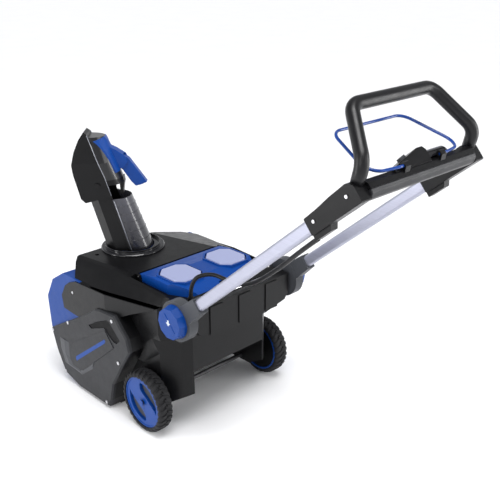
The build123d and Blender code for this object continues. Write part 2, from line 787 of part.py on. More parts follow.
with BuildPart() as controller_board:
    with BuildSketch(Plane(origin=place(-60, 20, 200))):
        Rectangle(120, 90)
    extrude(amount=2)
    with BuildSketch(Plane(origin=place(-60, 20, 202))):
        with GridLocations(34, 30, 3, 2):
            Rectangle(20, 16)
    extrude(amount=14)
    with BuildSketch(Plane(origin=place(-60, 20, 175.5))):
        with GridLocations(104, 74, 2, 2):
            Circle(4)
    extrude(amount=24.5)
controller_board.part.label = "controller_board"
export_step(controller_board.part, "parts/controller_board.step")

# ================================================================ side covers
def side_cover(hand):
    """One dished cover over a housing end, with a raised panel and an angled finger recess."""
    with BuildPart() as cover:
        with BuildSketch(side.offset(cover_inner_x)):
            Polygon(*cover_outline, align=None)
        extrude(amount=cover_outer_x - cover_inner_x)
        chamfer(cover.faces().sort_by(Axis.X)[-1].edges(), 4)
        with BuildSketch(side.offset(cover_outer_x)):
            Polygon(*cover_panel, align=None)
        extrude(amount=cover_panel_x - cover_outer_x)
        with BuildSketch(side.offset(cover_inner_x)):
            Polygon(*cover_outline, align=None)
            offset(amount=-8)
        extrude(amount=cover_outer_x - cover_inner_x - 4.5, mode=Mode.SUBTRACT)
        with BuildSketch(side.offset(cover_outer_x - finger_recess_deep)):
            Polygon(*finger_recess, align=None)
        extrude(amount=10, mode=Mode.SUBTRACT)
        with BuildSketch(side.offset(cover_inner_x - 1)):
            with Locations(*cover_screws):
                Circle(2.5)
        extrude(amount=20, mode=Mode.SUBTRACT)
    if hand > 0:
        return cover.part
    return mirror(cover.part, about=Plane.YZ)


left_side_cover = side_cover(1)
left_side_cover.label = "left_side_cover"
export_step(left_side_cover, "parts/left_side_cover.step")
right_side_cover = side_cover(-1)
right_side_cover.label = "right_side_cover"
export_step(right_side_cover, "parts/right_side_cover.step")

with BuildPart() as cover_bolts:
    with BuildSketch(side.offset(cover_inner_x)):
        with Locations(*cover_screws):
            Circle(2.5)
    extrude(amount=cover_outer_x - cover_inner_x)
    with BuildSketch(side.offset(cover_outer_x)):
        with Locations(*cover_screws):
            Circle(5)
    extrude(amount=2)
    mirror(about=Plane.YZ)
cover_bolts.part.label = "cover_screws"
export_step(cover_bolts.part, "parts/cover_screws.step")

# ================================================================ wheels
axle_half = 238.5
with BuildPart(side.offset(-axle_half)) as wheel_axle:
    with Locations((0, wheel_r, 0)):
        Cylinder(axle_r, 2 * axle_half, align=on_base)
wheel_axle.part.label = "wheel_axle"
export_step(wheel_axle.part, "parts/wheel_axle.step")

with BuildPart(side.offset(leg_half)) as axle_retainers:
    with Locations((0, wheel_r, 0)):
        Cylinder(11, wheel_inner_x + 5 - leg_half - free_gap, align=on_base)
        Cylinder(axle_r, 30, align=on_base, mode=Mode.SUBTRACT)
    with Locations((0, wheel_r, axle_half - leg_half)):
        Cylinder(9, 2.4, align=on_base)
    mirror(about=Plane.YZ)
axle_retainers.part.label = "axle_retainers"
export_step(axle_retainers.part, "parts/axle_retainers.step")

hub_outer_x = 236.0
hub_face_r = 57.0
lens_inner = [(56, -16), (50, -8), (35, 4), (19, 15), (2, 26), (-9, 38), (-10, 51)]


def lens_outline(turn):
    """One of the two recesses either side of the hub's S-shaped spoke; turn is 1 or -1."""
    rim_points = [
        (hub_face_r * math.cos(math.radians(angle)), hub_face_r * math.sin(math.radians(angle)))
        for angle in (96, 78, 60, 42, 24, 6, -10)
    ]
    return [(turn * y, turn * z) for y, z in rim_points + lens_inner]


def wheel_tyre():
    """A solid rubber tyre with a crowned tread, as a ring about the axle."""
    with BuildPart() as tyre:
        with BuildSketch(Plane(origin=(0, axle_y, wheel_r), x_dir=(1, 0, 0), z_dir=(0, -1, 0))):
            Polygon(
                (wheel_inner_x, rim_r), (wheel_inner_x, wheel_r - 6), (wheel_inner_x + 5, wheel_r - 1),
                (wheel_inner_x + 11, wheel_r),
                (wheel_inner_x + wheel_width - 11, wheel_r), (wheel_inner_x + wheel_width - 5, wheel_r - 1),
                (wheel_inner_x + wheel_width, wheel_r - 6), (wheel_inner_x + wheel_width, rim_r), align=None,
            )
        revolve(axis=Axis(origin=(0, axle_y, wheel_r), direction=(1, 0, 0)))
    return tyre.part


def wheel_hub():
    """A hub with a rim, a web and a face whose two recesses leave one bold S-shaped spoke."""
    with BuildPart() as hub:
        with BuildSketch(side.offset(wheel_inner_x)):
            with Locations((0, wheel_r)):
                Circle(rim_r)
                Circle(rim_r - 5, mode=Mode.SUBTRACT)
        extrude(amount=hub_outer_x - wheel_inner_x)
        with BuildSketch(side.offset(hub_outer_x - 16)):
            with Locations((0, wheel_r)):
                Circle(rim_r - 4)
        extrude(amount=4)
        with BuildSketch(side.offset(hub_outer_x - 12)):
            with Locations((0, wheel_r)):
                Circle(rim_r - 4)
                for turn in (1, -1):
                    Polygon(*lens_outline(turn), mode=Mode.SUBTRACT, align=None)
        extrude(amount=10)
        with BuildSketch(side.offset(wheel_inner_x + 5)):
            with Locations((0, wheel_r)):
                Circle(15)
        extrude(amount=hub_outer_x - wheel_inner_x - 7)
        with BuildSketch(side.offset(wheel_inner_x - 5)):
            with Locations((0, wheel_r)):
                Circle(axle_r + running_gap)
        extrude(amount=60, mode=Mode.SUBTRACT)
    return hub.part


for tyre_name, hub_name, hand in (("left_tyre", "left_hub", 1), ("right_tyre", "right_hub", -1)):
    tyre_solid = wheel_tyre()
    hub_solid = wheel_hub()
    if hand < 0:
        tyre_solid = mirror(tyre_solid, about=Plane.YZ)
        hub_solid = mirror(hub_solid, about=Plane.YZ)
    tyre_solid.label = tyre_name
    export_step(tyre_solid, "parts/" + tyre_name + ".step")
    hub_solid.label = hub_name
    export_step(hub_solid, "parts/" + hub_name + ".step")

# ================================================================ handle pivots
with BuildPart(side.offset(140)) as pivot_pins:
    with Locations((pivot_y, pivot_z, 0)):
        Cylinder(pin_r, 50, align=on_base)
    mirror(about=Plane.YZ)
pivot_pins.part.label = "pivot_pins"
export_step(pivot_pins.part, "parts/pivot_pins.step")

socket_wide = 28.0
socket_deep = 40.0
socket_end = 106.0
button_stroke = 6.0
button_seat_x = 194.0


def handle_elbow():
    """The ring round the pivot with the socket that the tube is pressed into."""
    with BuildPart() as elbow:
        with BuildSketch(arm.offset(ring_inner_x)):
            Circle(ring_r)
        extrude(amount=ring_outer_x - ring_inner_x)
        with BuildSketch(arm.offset(ring_inner_x + 1)):
            Polygon(
                (20, 25), (socket_end, socket_deep / 2), (socket_end, -socket_deep / 2), (20, -27), align=None
            )
        extrude(amount=socket_wide)
        with BuildSketch(arm.offset(button_seat_x)):
            Circle(button_r + 0.5)
        extrude(amount=30, mode=Mode.SUBTRACT)
        with BuildSketch(arm.offset(ring_inner_x - 1)):
            Circle(pin_r + running_gap)
        extrude(amount=16.5, mode=Mode.SUBTRACT)
        with BuildSketch(arm.offset(tube_x - tube_wide / 2)):
            with Locations((tube_start, 0)):
                Rectangle(60, tube_deep, align=(Align.MIN, Align.CENTER))
        extrude(amount=tube_wide, mode=Mode.SUBTRACT)
    return elbow.part


def pivot_button():
    """A ten-sided push button that fills the ring's outer face, with one grip rib."""
    with BuildPart() as button:
        with BuildSketch(arm.offset(ring_outer_x - 2)):
            RegularPolygon(button_r, 10)
        extrude(amount=button_outer_x - ring_outer_x + 2, taper=7)
        with BuildSketch(arm.offset(button_outer_x - 8)):
            Rectangle(12, 56)
        extrude(amount=9)
        with BuildSketch(arm.offset(button_seat_x + button_stroke + 0.4)):
            Circle(button_r)
        extrude(amount=4)
    return button.part


def handle_tube():
    """A straight tube of rounded rectangular section, from the elbow to the grip's bracket."""
    with BuildPart() as tube:
        section = Plane(origin=place(tube_x, pivot_y, pivot_z), x_dir=(1, 0, 0), z_dir=arm_way)
        with BuildSketch(section.offset(tube_start)):
            RectangleRounded(tube_wide, tube_deep, 7)
            RectangleRounded(tube_wide - 2 * tube_wall, tube_deep - 2 * tube_wall, 5.4, mode=Mode.SUBTRACT)
        extrude(amount=tube_end - tube_start)
    return tube.part


bracket_start = 555.0
bracket_end = 704.0
bracket_x = 190.0
bracket_screw_spots = [(577, 3), (678, 5)]


def upper_bracket():
    """The black sleeve that clamps the top of a tube and the foot of the loop handle."""
    with BuildPart() as bracket:
        with BuildSketch(arm.offset(bracket_x - 15)):
            Polygon(
                (bracket_start, -19), (bracket_start, 18), (600, 20), (640, 24), (690, 26), (bracket_end, 14),
                (bracket_end, -20), align=None,
            )
        extrude(amount=30)
        chamfer(bracket.edges().filter_by(Axis.X), 2)
        with BuildSketch(arm.offset(bracket_x - 10)):
            Polygon((553, -30), (553, -17), (610, -17), (600, -30), align=None)
        extrude(amount=20)
        section = Plane(origin=place(tube_x, pivot_y, pivot_z), x_dir=(1, 0, 0), z_dir=arm_way)
        with BuildSketch(section.offset(bracket_start - 5)):
            RectangleRounded(tube_wide, tube_deep, 7)
        extrude(amount=tube_end - bracket_start + 5, mode=Mode.SUBTRACT)
        with BuildSketch(arm.offset(bracket_x + 11)):
            with Locations(*bracket_screw_spots):
                Circle(2.5)
        extrude(amount=4, mode=Mode.SUBTRACT)
        add(loop_bar(loop_core_r), mode=Mode.SUBTRACT)
    return bracket.part


def arm_point(x, along, above):
    """A point given by x, the distance up the handle and the height over it, in the model's frame."""
    return (
        x,
        axle_y + pivot_y + along * math.cos(lean) - above * math.sin(lean),
        pivot_z + along * math.sin(lean) + above * math.cos(lean),
    )


loop_foot = (186, 664, -6)
loop_shoulder = (185, 731, 40)
loop_path = [
    loop_foot, loop_shoulder, (129, 727, 155), (-129, 727, 155), (-185, 731, 40), (-186, 664, -6),
]
loop_bend = 36.0


def loop_bar(radius):
    """A round bar bent along the loop handle's path."""
    with BuildPart() as bar:
        with BuildLine() as path:
            FilletPolyline(*[arm_point(*point) for point in loop_path], radius=loop_bend)
        with BuildSketch(Plane(origin=path.line @ 0, z_dir=path.line % 0)):
            Circle(radius)
        sweep()
    return bar.part


pivot_parts = (
    ("elbow", handle_elbow), ("pivot_button", pivot_button), ("tube", handle_tube),
    ("upper_bracket", upper_bracket),
)
for kind, make in pivot_parts:
    left_solid = make()
    left_solid.label = "left_" + kind
    export_step(left_solid, "parts/left_" + kind + ".step")
    right_solid = mirror(left_solid, about=Plane.YZ)
    right_solid.label = "right_" + kind
    export_step(right_solid, "parts/right_" + kind + ".step")


# ================================================================ loop handle and crossbar
foam_start = 0.63
foam_foot = tuple(low + (high - low) * foam_start for low, high in zip(loop_foot, loop_shoulder))


def foam_bar(radius):
    """The loop handle's bar between the two brackets, where the foam covers it."""
    foot_left = foam_foot
    foot_right = (-foam_foot[0], foam_foot[1], foam_foot[2])
    points = [arm_point(*point) for point in [foot_left] + loop_path[1:-1] + [foot_right]]
    with BuildPart() as bar:
        with BuildLine() as path:
            FilletPolyline(*points, radius=loop_bend)
        with BuildSketch(Plane(origin=path.line @ 0, z_dir=path.line % 0)):
            Circle(radius)
        sweep()
    return bar.part


loop_core = loop_bar(loop_core_r) - loop_bar(loop_core_r - 2)
loop_core.label = "loop_core"
export_step(loop_core, "parts/loop_core.step")

foam_grip = foam_bar(grip_r) - loop_bar(loop_core_r)
foam_grip.label = "foam_grip"
export_step(foam_grip, "parts/foam_grip.step")

with BuildPart() as bracket_screws:
    with BuildSketch(arm.offset(bracket_x + 15)):
        with Locations(*bracket_screw_spots):
            Circle(3.6)
    extrude(amount=2)
    with BuildSketch(arm.offset(bracket_x + 11)):
        with Locations(*bracket_screw_spots):
            Circle(2.5)
    extrude(amount=4)
    mirror(about=Plane.YZ)
bracket_screws.part.label = "bracket_screws"
export_step(bracket_screws.part, "parts/bracket_screws.step")

crossbar_half = bracket_x - 15
crossbar_split = -3.0
crossbar_skin = 3.0
bail_pivot = (716.0, 16.6)
bail_lug = [(708, 4), (713, 4), (722, 12), (722, 21), (719, 24), (713, 24), (711, 20), (711, 9), (708, 9)]
bail_lug_inner = 52.0
bail_lug_outer = 68.0
box_near_x = 88.0
box_far_x = -30.0
box_rear = 711.0


# the switch box's sloping roof, where the safety button is
roof_slope = math.atan2(14, 52)
box_roof = Plane(
    origin=arm_point(34, 696, 34),
    x_dir=(
        -math.cos(roof_slope), -math.sin(roof_slope) * math.sin(lean), math.sin(roof_slope) * math.cos(lean),
    ),
    z_dir=(
        math.sin(roof_slope), -math.cos(roof_slope) * math.sin(lean), math.cos(roof_slope) * math.cos(lean),
    ),
)
button_hole_wide = 20.0
button_hole_long = 12.0


def across(along):
    """A plane square to the handle, facing the grip; its x runs to the right and its y over the handle."""
    return Plane(origin=arm_point(0, along, 0), x_dir=(-1, 0, 0), z_dir=arm_way)


with BuildPart() as crossbar_upper:
    with BuildSketch(arm.offset(-crossbar_half)):
        Polygon(
            (678, crossbar_split), (676, 8), (684, 18), (704, 18), (711.5, 8), (711.5, crossbar_split),
            align=None,
        )
    extrude(amount=2 * crossbar_half)
    with BuildSketch(across(678)):
        Polygon(
            (-box_near_x, 10), (-box_near_x, 19), (-60, 27), (-8, 41), (4, 44), (22, 44), (-box_far_x, 36),
            (-box_far_x, 10), align=None,
        )
    extrude(amount=box_rear - 678)
    with BuildSketch(arm.offset(-crossbar_half + crossbar_skin)):
        Polygon(
            (681, crossbar_split), (679.5, 7), (686, 15), (702.5, 15), (708.5, 7), (708.5, crossbar_split),
            align=None,
        )
    extrude(amount=2 * (crossbar_half - crossbar_skin), mode=Mode.SUBTRACT)
    with BuildSketch(across(682)):
        Polygon(
            (-66, 12), (-66, 20), (-8, 36), (6, 40), (20, 40), (-box_far_x - 3, 33), (-box_far_x - 3, 12),
            align=None,
        )
    extrude(amount=box_rear - 4 - 682, mode=Mode.SUBTRACT)
    # lugs that hold the bail's ends
    with BuildSketch(arm.offset(bail_lug_inner)):
        Polygon(*bail_lug, align=None)
    extrude(amount=bail_lug_outer - bail_lug_inner)
    with BuildSketch(arm.offset(-bail_lug_outer)):
        Polygon(*bail_lug, align=None)
    extrude(amount=bail_lug_outer - bail_lug_inner)
    with BuildSketch(arm.offset(-bail_lug_outer - 1)):
        with Locations(bail_pivot):
            Circle(bail_wire_r + running_gap)
    extrude(amount=2 * bail_lug_outer + 2, mode=Mode.SUBTRACT)
    # the safety button's well, in the roof of the switch box
    with BuildSketch(box_roof):
        RectangleRounded(button_hole_wide, button_hole_long, 3)
    extrude(amount=8, both=True, mode=Mode.SUBTRACT)
crossbar_upper.part.label = "crossbar_upper"
export_step(crossbar_upper.part, "parts/crossbar_upper.step")

with BuildPart() as crossbar_lower:
    with BuildSketch(arm.offset(-crossbar_half)):
        Polygon(
            (678, crossbar_split), (711.5, crossbar_split), (709, -12), (700, -19), (688, -19), (680, -12),
            align=None,
        )
    extrude(amount=2 * crossbar_half)
    with BuildSketch(arm.offset(-crossbar_half + crossbar_skin)):
        Polygon(
            (681, crossbar_split), (708.5, crossbar_split), (706, -11), (698.5, -16), (689.5, -16),
            (683, -11), align=None,
        )
    extrude(amount=2 * (crossbar_half - crossbar_skin), mode=Mode.SUBTRACT)
crossbar_lower.part.label = "crossbar_lower"
export_step(crossbar_lower.part, "parts/crossbar_lower.step")

with BuildPart() as lamp_cover:
    with BuildSketch(arm.offset(-94)):
        with Locations((692.5, 20)):
            Circle(18)
        Polygon((670, 18), (720, 18), (720, -10), (670, -10), mode=Mode.SUBTRACT, align=None)
    extrude(amount=64)
    with BuildSketch(arm.offset(-91)):
        with Locations((692.5, 20)):
            Circle(15)
        Polygon((670, 18), (720, 18), (720, -10), (670, -10), mode=Mode.SUBTRACT, align=None)
    extrude(amount=58, mode=Mode.SUBTRACT)
lamp_cover.part.label = "lamp_cover"
export_step(lamp_cover.part, "parts/lamp_cover.step")

with BuildPart() as bail_switch:
    with BuildSketch(arm.offset(6)):
        with Locations((694, 22.5)):
            Rectangle(20, 18)
    extrude(amount=14)
    with BuildSketch(arm.offset(9)):
        with Locations((694, 31)):
            Rectangle(5, 4)
    extrude(amount=8)
bail_switch.part.label = "bail_switch"
export_step(bail_switch.part, "parts/bail_switch.step")

with BuildPart() as safety_button:
    with BuildSketch(box_roof.offset(-5)):
        RectangleRounded(button_hole_wide - 2 * free_gap, button_hole_long - 2 * free_gap, 2.7)
    extrude(amount=10.5)
safety_button.part.label = "safety_button"
export_step(safety_button.part, "parts/safety_button.step")

bail_bend = 34.0
bail_half = [(56, 716, 16.6), (78, 716, 16.6), (153, 705, 24.5), (114, 643.5, 142)]
with BuildPart() as bail_lever:
    with BuildLine() as bail_path:
        FilletPolyline(
            *[arm_point(*point) for point in bail_half],
            *[arm_point(-x, along, above) for x, along, above in reversed(bail_half)],
            radius=bail_bend,
        )
    with BuildSketch(Plane(origin=bail_path.line @ 0, z_dir=bail_path.line % 0)):
        Circle(bail_wire_r)
    sweep()
bail_lever.part.label = "bail_lever"
export_step(bail_lever.part, "parts/bail_lever.step")

# ================================================================ control cable
cable_route = [
    (cable_exit_x, cable_exit_y, cable_start_z), (140, 103, 450), (104, 140, 467), (96, 192, 460),
    (110, 280, 478), (153, 412, 574), (180, 505, 655),
]
cable_end = arm_point(190, 551.5, -27)
cable_bend = 19.0
with BuildPart() as control_cable:
    with BuildLine() as cable_path:
        FilletPolyline(*[place(*point) for point in cable_route], cable_end, radius=cable_bend)
    with BuildSketch(Plane(origin=cable_path.line @ 0, z_dir=cable_path.line % 0)):
        Circle(cable_r)
    sweep()
control_cable.part.label = "control_cable"
export_step(control_cable.part, "parts/control_cable.step")

# a bright rod along the top of the rear panel
with BuildPart(side.offset(-158)) as rear_rail:
    with Locations((127, 389, 0)):
        Cylinder(3, 316, align=on_base)
rear_rail.part.label = "rear_rail"
export_step(rear_rail.part, "parts/rear_rail.step")

# ================================================================ chute
ring_base_z = hood_top + free_gap
tilt_a = 80.0
tilt_z = 598.0
chute_foot = 405.0
channel_top = 612.0
window_top = 556.0
window_wall = 2.5
chute_front = Plane(origin=(chute_x, axle_y + chute_y, 0), x_dir=lateral, z_dir=forward)

with BuildPart() as chute_ring:
    with BuildSketch(level(ring_base_z)):
        Circle(flange_r)
        Circle(chute_bore_r, mode=Mode.SUBTRACT)
    extrude(amount=chute_foot - ring_base_z)
    chamfer(chute_ring.edges().filter_by(GeomType.CIRCLE).group_by(Axis.Z)[-1].sort_by(SortBy.LENGTH)[-1], 3)
    with BuildSketch(level(chute_foot)):
        Circle(collar_r)
        Circle(collar_r - 3.5, mode=Mode.SUBTRACT)
    extrude(amount=7)
chute_ring.part.label = "chute_ring"
export_step(chute_ring.part, "parts/chute_ring.step")


def rise(height):
    """How far a height is up the channel, from its foot (0) to its top (1)."""
    return (height - chute_foot) / (channel_top - chute_foot)


def channel_flange(height):
    """Distance forward of the chute's axis at which channel and window meet."""
    return -2 + 59 * rise(height)


def channel_half(height):
    """Half of the channel's outer width."""
    return 56.4 - 11.4 * rise(height)


def channel_section(height, inset, extend):
    """The channel's outline at one height: straight sides, clipped front corners, open at the back."""
    back = -channel_flange(height) + extend
    front = -(69 + 58.5 * rise(height)) + inset
    half = channel_half(height) - inset
    corner = 29
    return [
        (half, back), (half, front + corner), (half - corner, front),
        (corner - half, front), (-half, front + corner), (-half, back),
    ]


def channel_loft(inset, extend, low, high):
    """The solid between the channel's outlines at two heights."""
    with BuildPart() as solid:
        for height in (low, high):
            with BuildSketch(level(height)):
                Polygon(*channel_section(height, inset, extend), align=None)
        loft(ruled=True)
    return solid.part


def half_round(size_at, grow, heights):
    """A half cone through some heights; size_at gives its forward edge, half width and depth behind that."""
    with BuildPart() as solid:
        for height in heights:
            edge, half, depth = size_at(height, grow)
            with BuildSketch(level(height)):
                with Locations((0, -edge)):
                    Ellipse(half, depth)
                    Rectangle(200, 100, align=(Align.CENTER, Align.MAX), mode=Mode.SUBTRACT)
        loft(ruled=True)
    return solid.part


def lips(edge_shift):
    """Two strips that stand out along the joint between channel and window."""
    with BuildPart() as strips:
        for hand in (1, -1):
            with BuildPart(mode=Mode.PRIVATE) as strip:
                for height in (chute_foot, window_top):
                    half = channel_half(height)
                    back = -channel_flange(height) + edge_shift
                    with BuildSketch(level(height)):
                        Polygon(
                            (hand * (half - 3), back), (hand * (half + 6), back),
                            (hand * (half + 6), back - 4),
                            (hand * (half - 3), back - 4), align=None,
                        )
                loft(ruled=True)
            add(strip.part)
    return strips.part


with BuildPart() as chute_channel:
    add(channel_loft(0, 0, chute_foot, channel_top))
    add(lips(0))
    add(channel_loft(3, 30, chute_foot - 10, channel_top + 10), mode=Mode.SUBTRACT)
    with BuildSketch(chute_side.offset(-80)):
        Polygon((150, 553), (112, 562), (57, 612), (57, 640), (160, 640), align=None)
    extrude(amount=160, mode=Mode.SUBTRACT)
    with BuildSketch(chute_side.offset(-80)):
        with Locations((tilt_a, tilt_z)):
            Circle(4)
    extrude(amount=160, mode=Mode.SUBTRACT)
chute_channel.part.label = "chute_channel"
export_step(chute_channel.part, "parts/chute_channel.step")


def window_size(height, grow):
    """The window's half round at one height."""
    depth = 57.5 - 10.1 * (height - chute_foot) / (window_top - chute_foot)
    return (channel_flange(height), channel_half(height) + grow, depth + grow)


with BuildPart() as chute_window:
    add(half_round(window_size, 0, (chute_foot, window_top)))
    add(lips(4))
    add(half_round(window_size, -window_wall, (chute_foot - 10, window_top + 10)), mode=Mode.SUBTRACT)
chute_window.part.label = "chute_window"
export_step(chute_window.part, "parts/chute_window.step")

# ================================================================ deflector
deflector_outline = [
    (44, 566), (60, 622), (104, 736), (112, 742), (126, 722), (140, 690), (148, 655), (145, 628),
    (128, 560), (116, 548),
]
deflector_inside = [
    (38, 540), (43.5, 566), (59.5, 622), (97, 720), (104, 732), (111, 738), (123, 720), (137, 690),
    (160, 690), (160, 540),
]
deflector_wall = 2.5


def deflector_half(height):
    """Half of the deflector's outer width, which shrinks faster towards the cap."""
    if height < 660:
        return 54 - 4 * (height - 566) / 94
    return 50 - 22 * (height - 660) / 84


def deflector_block(outline, inset):
    """The region inside a side outline that narrows from the skirt to the cap."""
    edge = [(deflector_half(height) - inset, height) for height in (540, 660, 744)]
    with BuildPart() as block:
        with BuildSketch(chute_side.offset(-80)):
            Polygon(*outline, align=None)
        extrude(amount=160)
        with BuildSketch(chute_front.offset(-200)):
            Polygon(*edge, *[(-half, height) for half, height in reversed(edge)], align=None)
        extrude(amount=400, mode=Mode.INTERSECT)
    return block.part


def back_size(height, grow):
    """The half round on the deflector's back at one height."""
    climb = (height - 566) / (728 - 566)
    return (44 + 57 * climb, deflector_half(height) + grow, 47 - 4 * climb + grow)


band_foot = 598.0
back_foot = 612.0
back_top = 728.0

with BuildPart() as deflector:
    # a band and a tongue join the two cheeks behind the channel
    add(half_round(back_size, 0, (band_foot, back_foot)))
    add(half_round(back_size, -3, (band_foot - 5, back_foot + 5)), mode=Mode.SUBTRACT)
    with BuildSketch(chute_side.offset(-15)):
        Polygon((16, 562), (11, band_foot + 1), (13, back_foot), (24, back_foot), (24, 562), align=None)
    extrude(amount=30)
    add(deflector_block(deflector_outline, 0))
    add(deflector_block(deflector_inside, deflector_wall), mode=Mode.SUBTRACT)
    with BuildSketch(chute_side.offset(-80)):
        with Locations((tilt_a, tilt_z)):
            Circle(4 + running_gap)
    extrude(amount=160, mode=Mode.SUBTRACT)
deflector.part.label = "deflector"
export_step(deflector.part, "parts/deflector.step")

back_heights = (back_foot, 660, back_top)
with BuildPart() as deflector_back:
    add(half_round(back_size, 0, back_heights))
    add(half_round(back_size, -3, (back_foot - 5, 660, back_top - 3)), mode=Mode.SUBTRACT)
    add(deflector_block(deflector_outline, 0), mode=Mode.SUBTRACT)
deflector_back.part.label = "deflector_back"
export_step(deflector_back.part, "parts/deflector_back.step")

grip_saddle = [
    (92, 716), (58, 727), (30, 690), (6, 672), (-2, 652), (8, 634), (36, 628), (46, 613), (58, 618),
    (66, 640),
]
trigger_outline = [
    (20, 668), (4, 670), (-6, 662), (-52, 595), (-36, 588), (-20, 584), (-8, 597), (14, 632),
    (26, 640), (30, 656),
]
trigger_pivot = (16, 654)
trigger_half = 11.0
trigger_gap = 4.5

with BuildPart() as deflector_grip:
    add(half_round(back_size, 4, back_heights))
    with BuildSketch(chute_side.offset(-34)):
        Polygon(*grip_saddle, align=None)
    extrude(amount=68, mode=Mode.INTERSECT)
    # the cheeks either side of the trigger
    with BuildSketch(chute_side.offset(-trigger_half - 4.5)):
        Polygon((30, 690), (6, 674), (-3, 656), (8, 640), (36, 632), (50, 640), (50, 700), align=None)
    extrude(amount=2 * trigger_half + 9)
    add(half_round(back_size, 0, back_heights), mode=Mode.SUBTRACT)
    add(deflector_block(deflector_outline, 0), mode=Mode.SUBTRACT)
    with BuildSketch(chute_side.offset(-trigger_half - free_gap)):
        Polygon((31, 680), (14, 677), (-20, 672), (-20, 620), (31, 620), align=None)
    extrude(amount=2 * (trigger_half + free_gap), mode=Mode.SUBTRACT)
    with BuildSketch(chute_side.offset(-30)):
        with Locations(trigger_pivot):
            Circle(2.5)
    extrude(amount=60, mode=Mode.SUBTRACT)
deflector_grip.part.label = "deflector_grip"
export_step(deflector_grip.part, "parts/deflector_grip.step")

with BuildPart() as deflector_trigger:
    with BuildSketch(chute_side.offset(-trigger_half)):
        Polygon(*trigger_outline, align=None)
    extrude(amount=2 * trigger_half)
    with BuildSketch(chute_side.offset(-20)):
        with Locations(trigger_pivot):
            Circle(2.5 + running_gap)
    extrude(amount=40, mode=Mode.SUBTRACT)
    add(half_round(back_size, trigger_gap, (band_foot, 660, back_top)), mode=Mode.SUBTRACT)
deflector_trigger.part.label = "deflector_trigger"
export_step(deflector_trigger.part, "parts/deflector_trigger.step")

with BuildPart() as trigger_pin:
    with BuildSketch(chute_side.offset(-trigger_half - 4.5)):
        with Locations(trigger_pivot):
            Circle(2.5)
    extrude(amount=2 * trigger_half + 9)
trigger_pin.part.label = "trigger_pin"
export_step(trigger_pin.part, "parts/trigger_pin.step")

with BuildPart() as tilt_pins:
    with BuildSketch(chute_side.offset(43)):
        with Locations((tilt_a, tilt_z)):
            Circle(4)
    extrude(amount=12)
    with BuildSketch(chute_side.offset(55)):
        with Locations((tilt_a, tilt_z)):
            Circle(7)
    extrude(amount=2)
    with BuildSketch(chute_side.offset(-55)):
        with Locations((tilt_a, tilt_z)):
            Circle(4)
    extrude(amount=12)
    with BuildSketch(chute_side.offset(-57)):
        with Locations((tilt_a, tilt_z)):
            Circle(7)
    extrude(amount=2)
tilt_pins.part.label = "tilt_pins"
export_step(tilt_pins.part, "parts/tilt_pins.step")
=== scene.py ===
import math

import bmesh
import bpy
from mathutils import Matrix, Vector


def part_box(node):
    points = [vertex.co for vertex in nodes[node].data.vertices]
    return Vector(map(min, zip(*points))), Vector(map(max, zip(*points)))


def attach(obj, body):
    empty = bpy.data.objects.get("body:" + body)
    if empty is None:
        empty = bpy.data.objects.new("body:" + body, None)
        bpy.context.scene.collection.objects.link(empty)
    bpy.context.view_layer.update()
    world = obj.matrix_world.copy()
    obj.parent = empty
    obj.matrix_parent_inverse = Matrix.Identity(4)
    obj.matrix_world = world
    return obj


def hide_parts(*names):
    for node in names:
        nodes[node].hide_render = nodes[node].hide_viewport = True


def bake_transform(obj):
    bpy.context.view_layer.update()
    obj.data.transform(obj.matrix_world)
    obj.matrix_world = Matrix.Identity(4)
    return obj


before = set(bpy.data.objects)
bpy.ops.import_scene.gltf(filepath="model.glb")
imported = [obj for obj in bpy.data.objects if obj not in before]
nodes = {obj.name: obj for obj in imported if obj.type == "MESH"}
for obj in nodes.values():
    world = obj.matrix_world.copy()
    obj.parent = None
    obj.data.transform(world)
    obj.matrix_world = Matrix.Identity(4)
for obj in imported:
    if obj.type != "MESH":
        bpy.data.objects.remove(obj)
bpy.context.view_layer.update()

# ---------------------------------------------------------------- driving values, in metres
axle_y = -0.107
handle_lean = math.radians(40.3)
pivot = Vector((0, axle_y + 0.1174, 0.360))
tread_count = 30
tyre_bead_r = 0.072
tyre_wall_r = 0.0785
tyre_shoulder_r = 0.0822
tyre_floor_r = 0.0832
tread_root = 0.0045
cable_r = 0.0052
foam_r = 0.0139
foam_bend = 0.036

BLACK = (0.0042, 0.0042, 0.0048, 1)
COVER_GREY = (0.019, 0.0197, 0.0225, 1)
ELBOW_GREY = (0.052, 0.055, 0.062, 1)
BLUE = (0.0006, 0.043, 0.24, 1)

hands = (("left", 1), ("right", -1))

# the chute stands on a vertical axis and is turned to one side
chute_axis = Vector((0.034, axle_y - 0.284, 0))
chute_yaw = math.radians(47)
chute_forward = Vector((math.sin(chute_yaw), -math.cos(chute_yaw), 0))
chute_across = Vector((math.cos(chute_yaw), math.sin(chute_yaw), 0))
chute_foot = 0.405
channel_top = 0.612
window_top = 0.556


# ================================================================ materials
def node_material(name):
    """A new material, its node tree and its Principled shader."""
    material = bpy.data.materials.new(name)
    material.use_nodes = True
    tree = material.node_tree
    return material, tree, tree.nodes["Principled BSDF"]


def add_node(tree, kind, **values):
    """A new node with these values on its inputs; underscores in their names stand for spaces."""
    node = tree.nodes.new(kind)
    for name, value in values.items():
        node.inputs[name.replace("_", " ")].default_value = value
    return node


def noise(tree, coords, scale, detail=4.0, roughness=0.55):
    """A noise texture in object space."""
    texture = add_node(tree, "ShaderNodeTexNoise", Scale=scale, Detail=detail, Roughness=roughness)
    tree.links.new(coords.outputs["Object"], texture.inputs["Vector"])
    return texture


def ramp(tree, source, stops):
    """A colour ramp over a factor."""
    blend = tree.nodes.new("ShaderNodeValToRGB")
    elements = blend.color_ramp.elements
    elements[0].position, elements[0].color = stops[0]
    elements[1].position, elements[1].color = stops[-1]
    for position, color in stops[1:-1]:
        elements.new(position).color = color
    tree.links.new(source, blend.inputs["Fac"])
    return blend


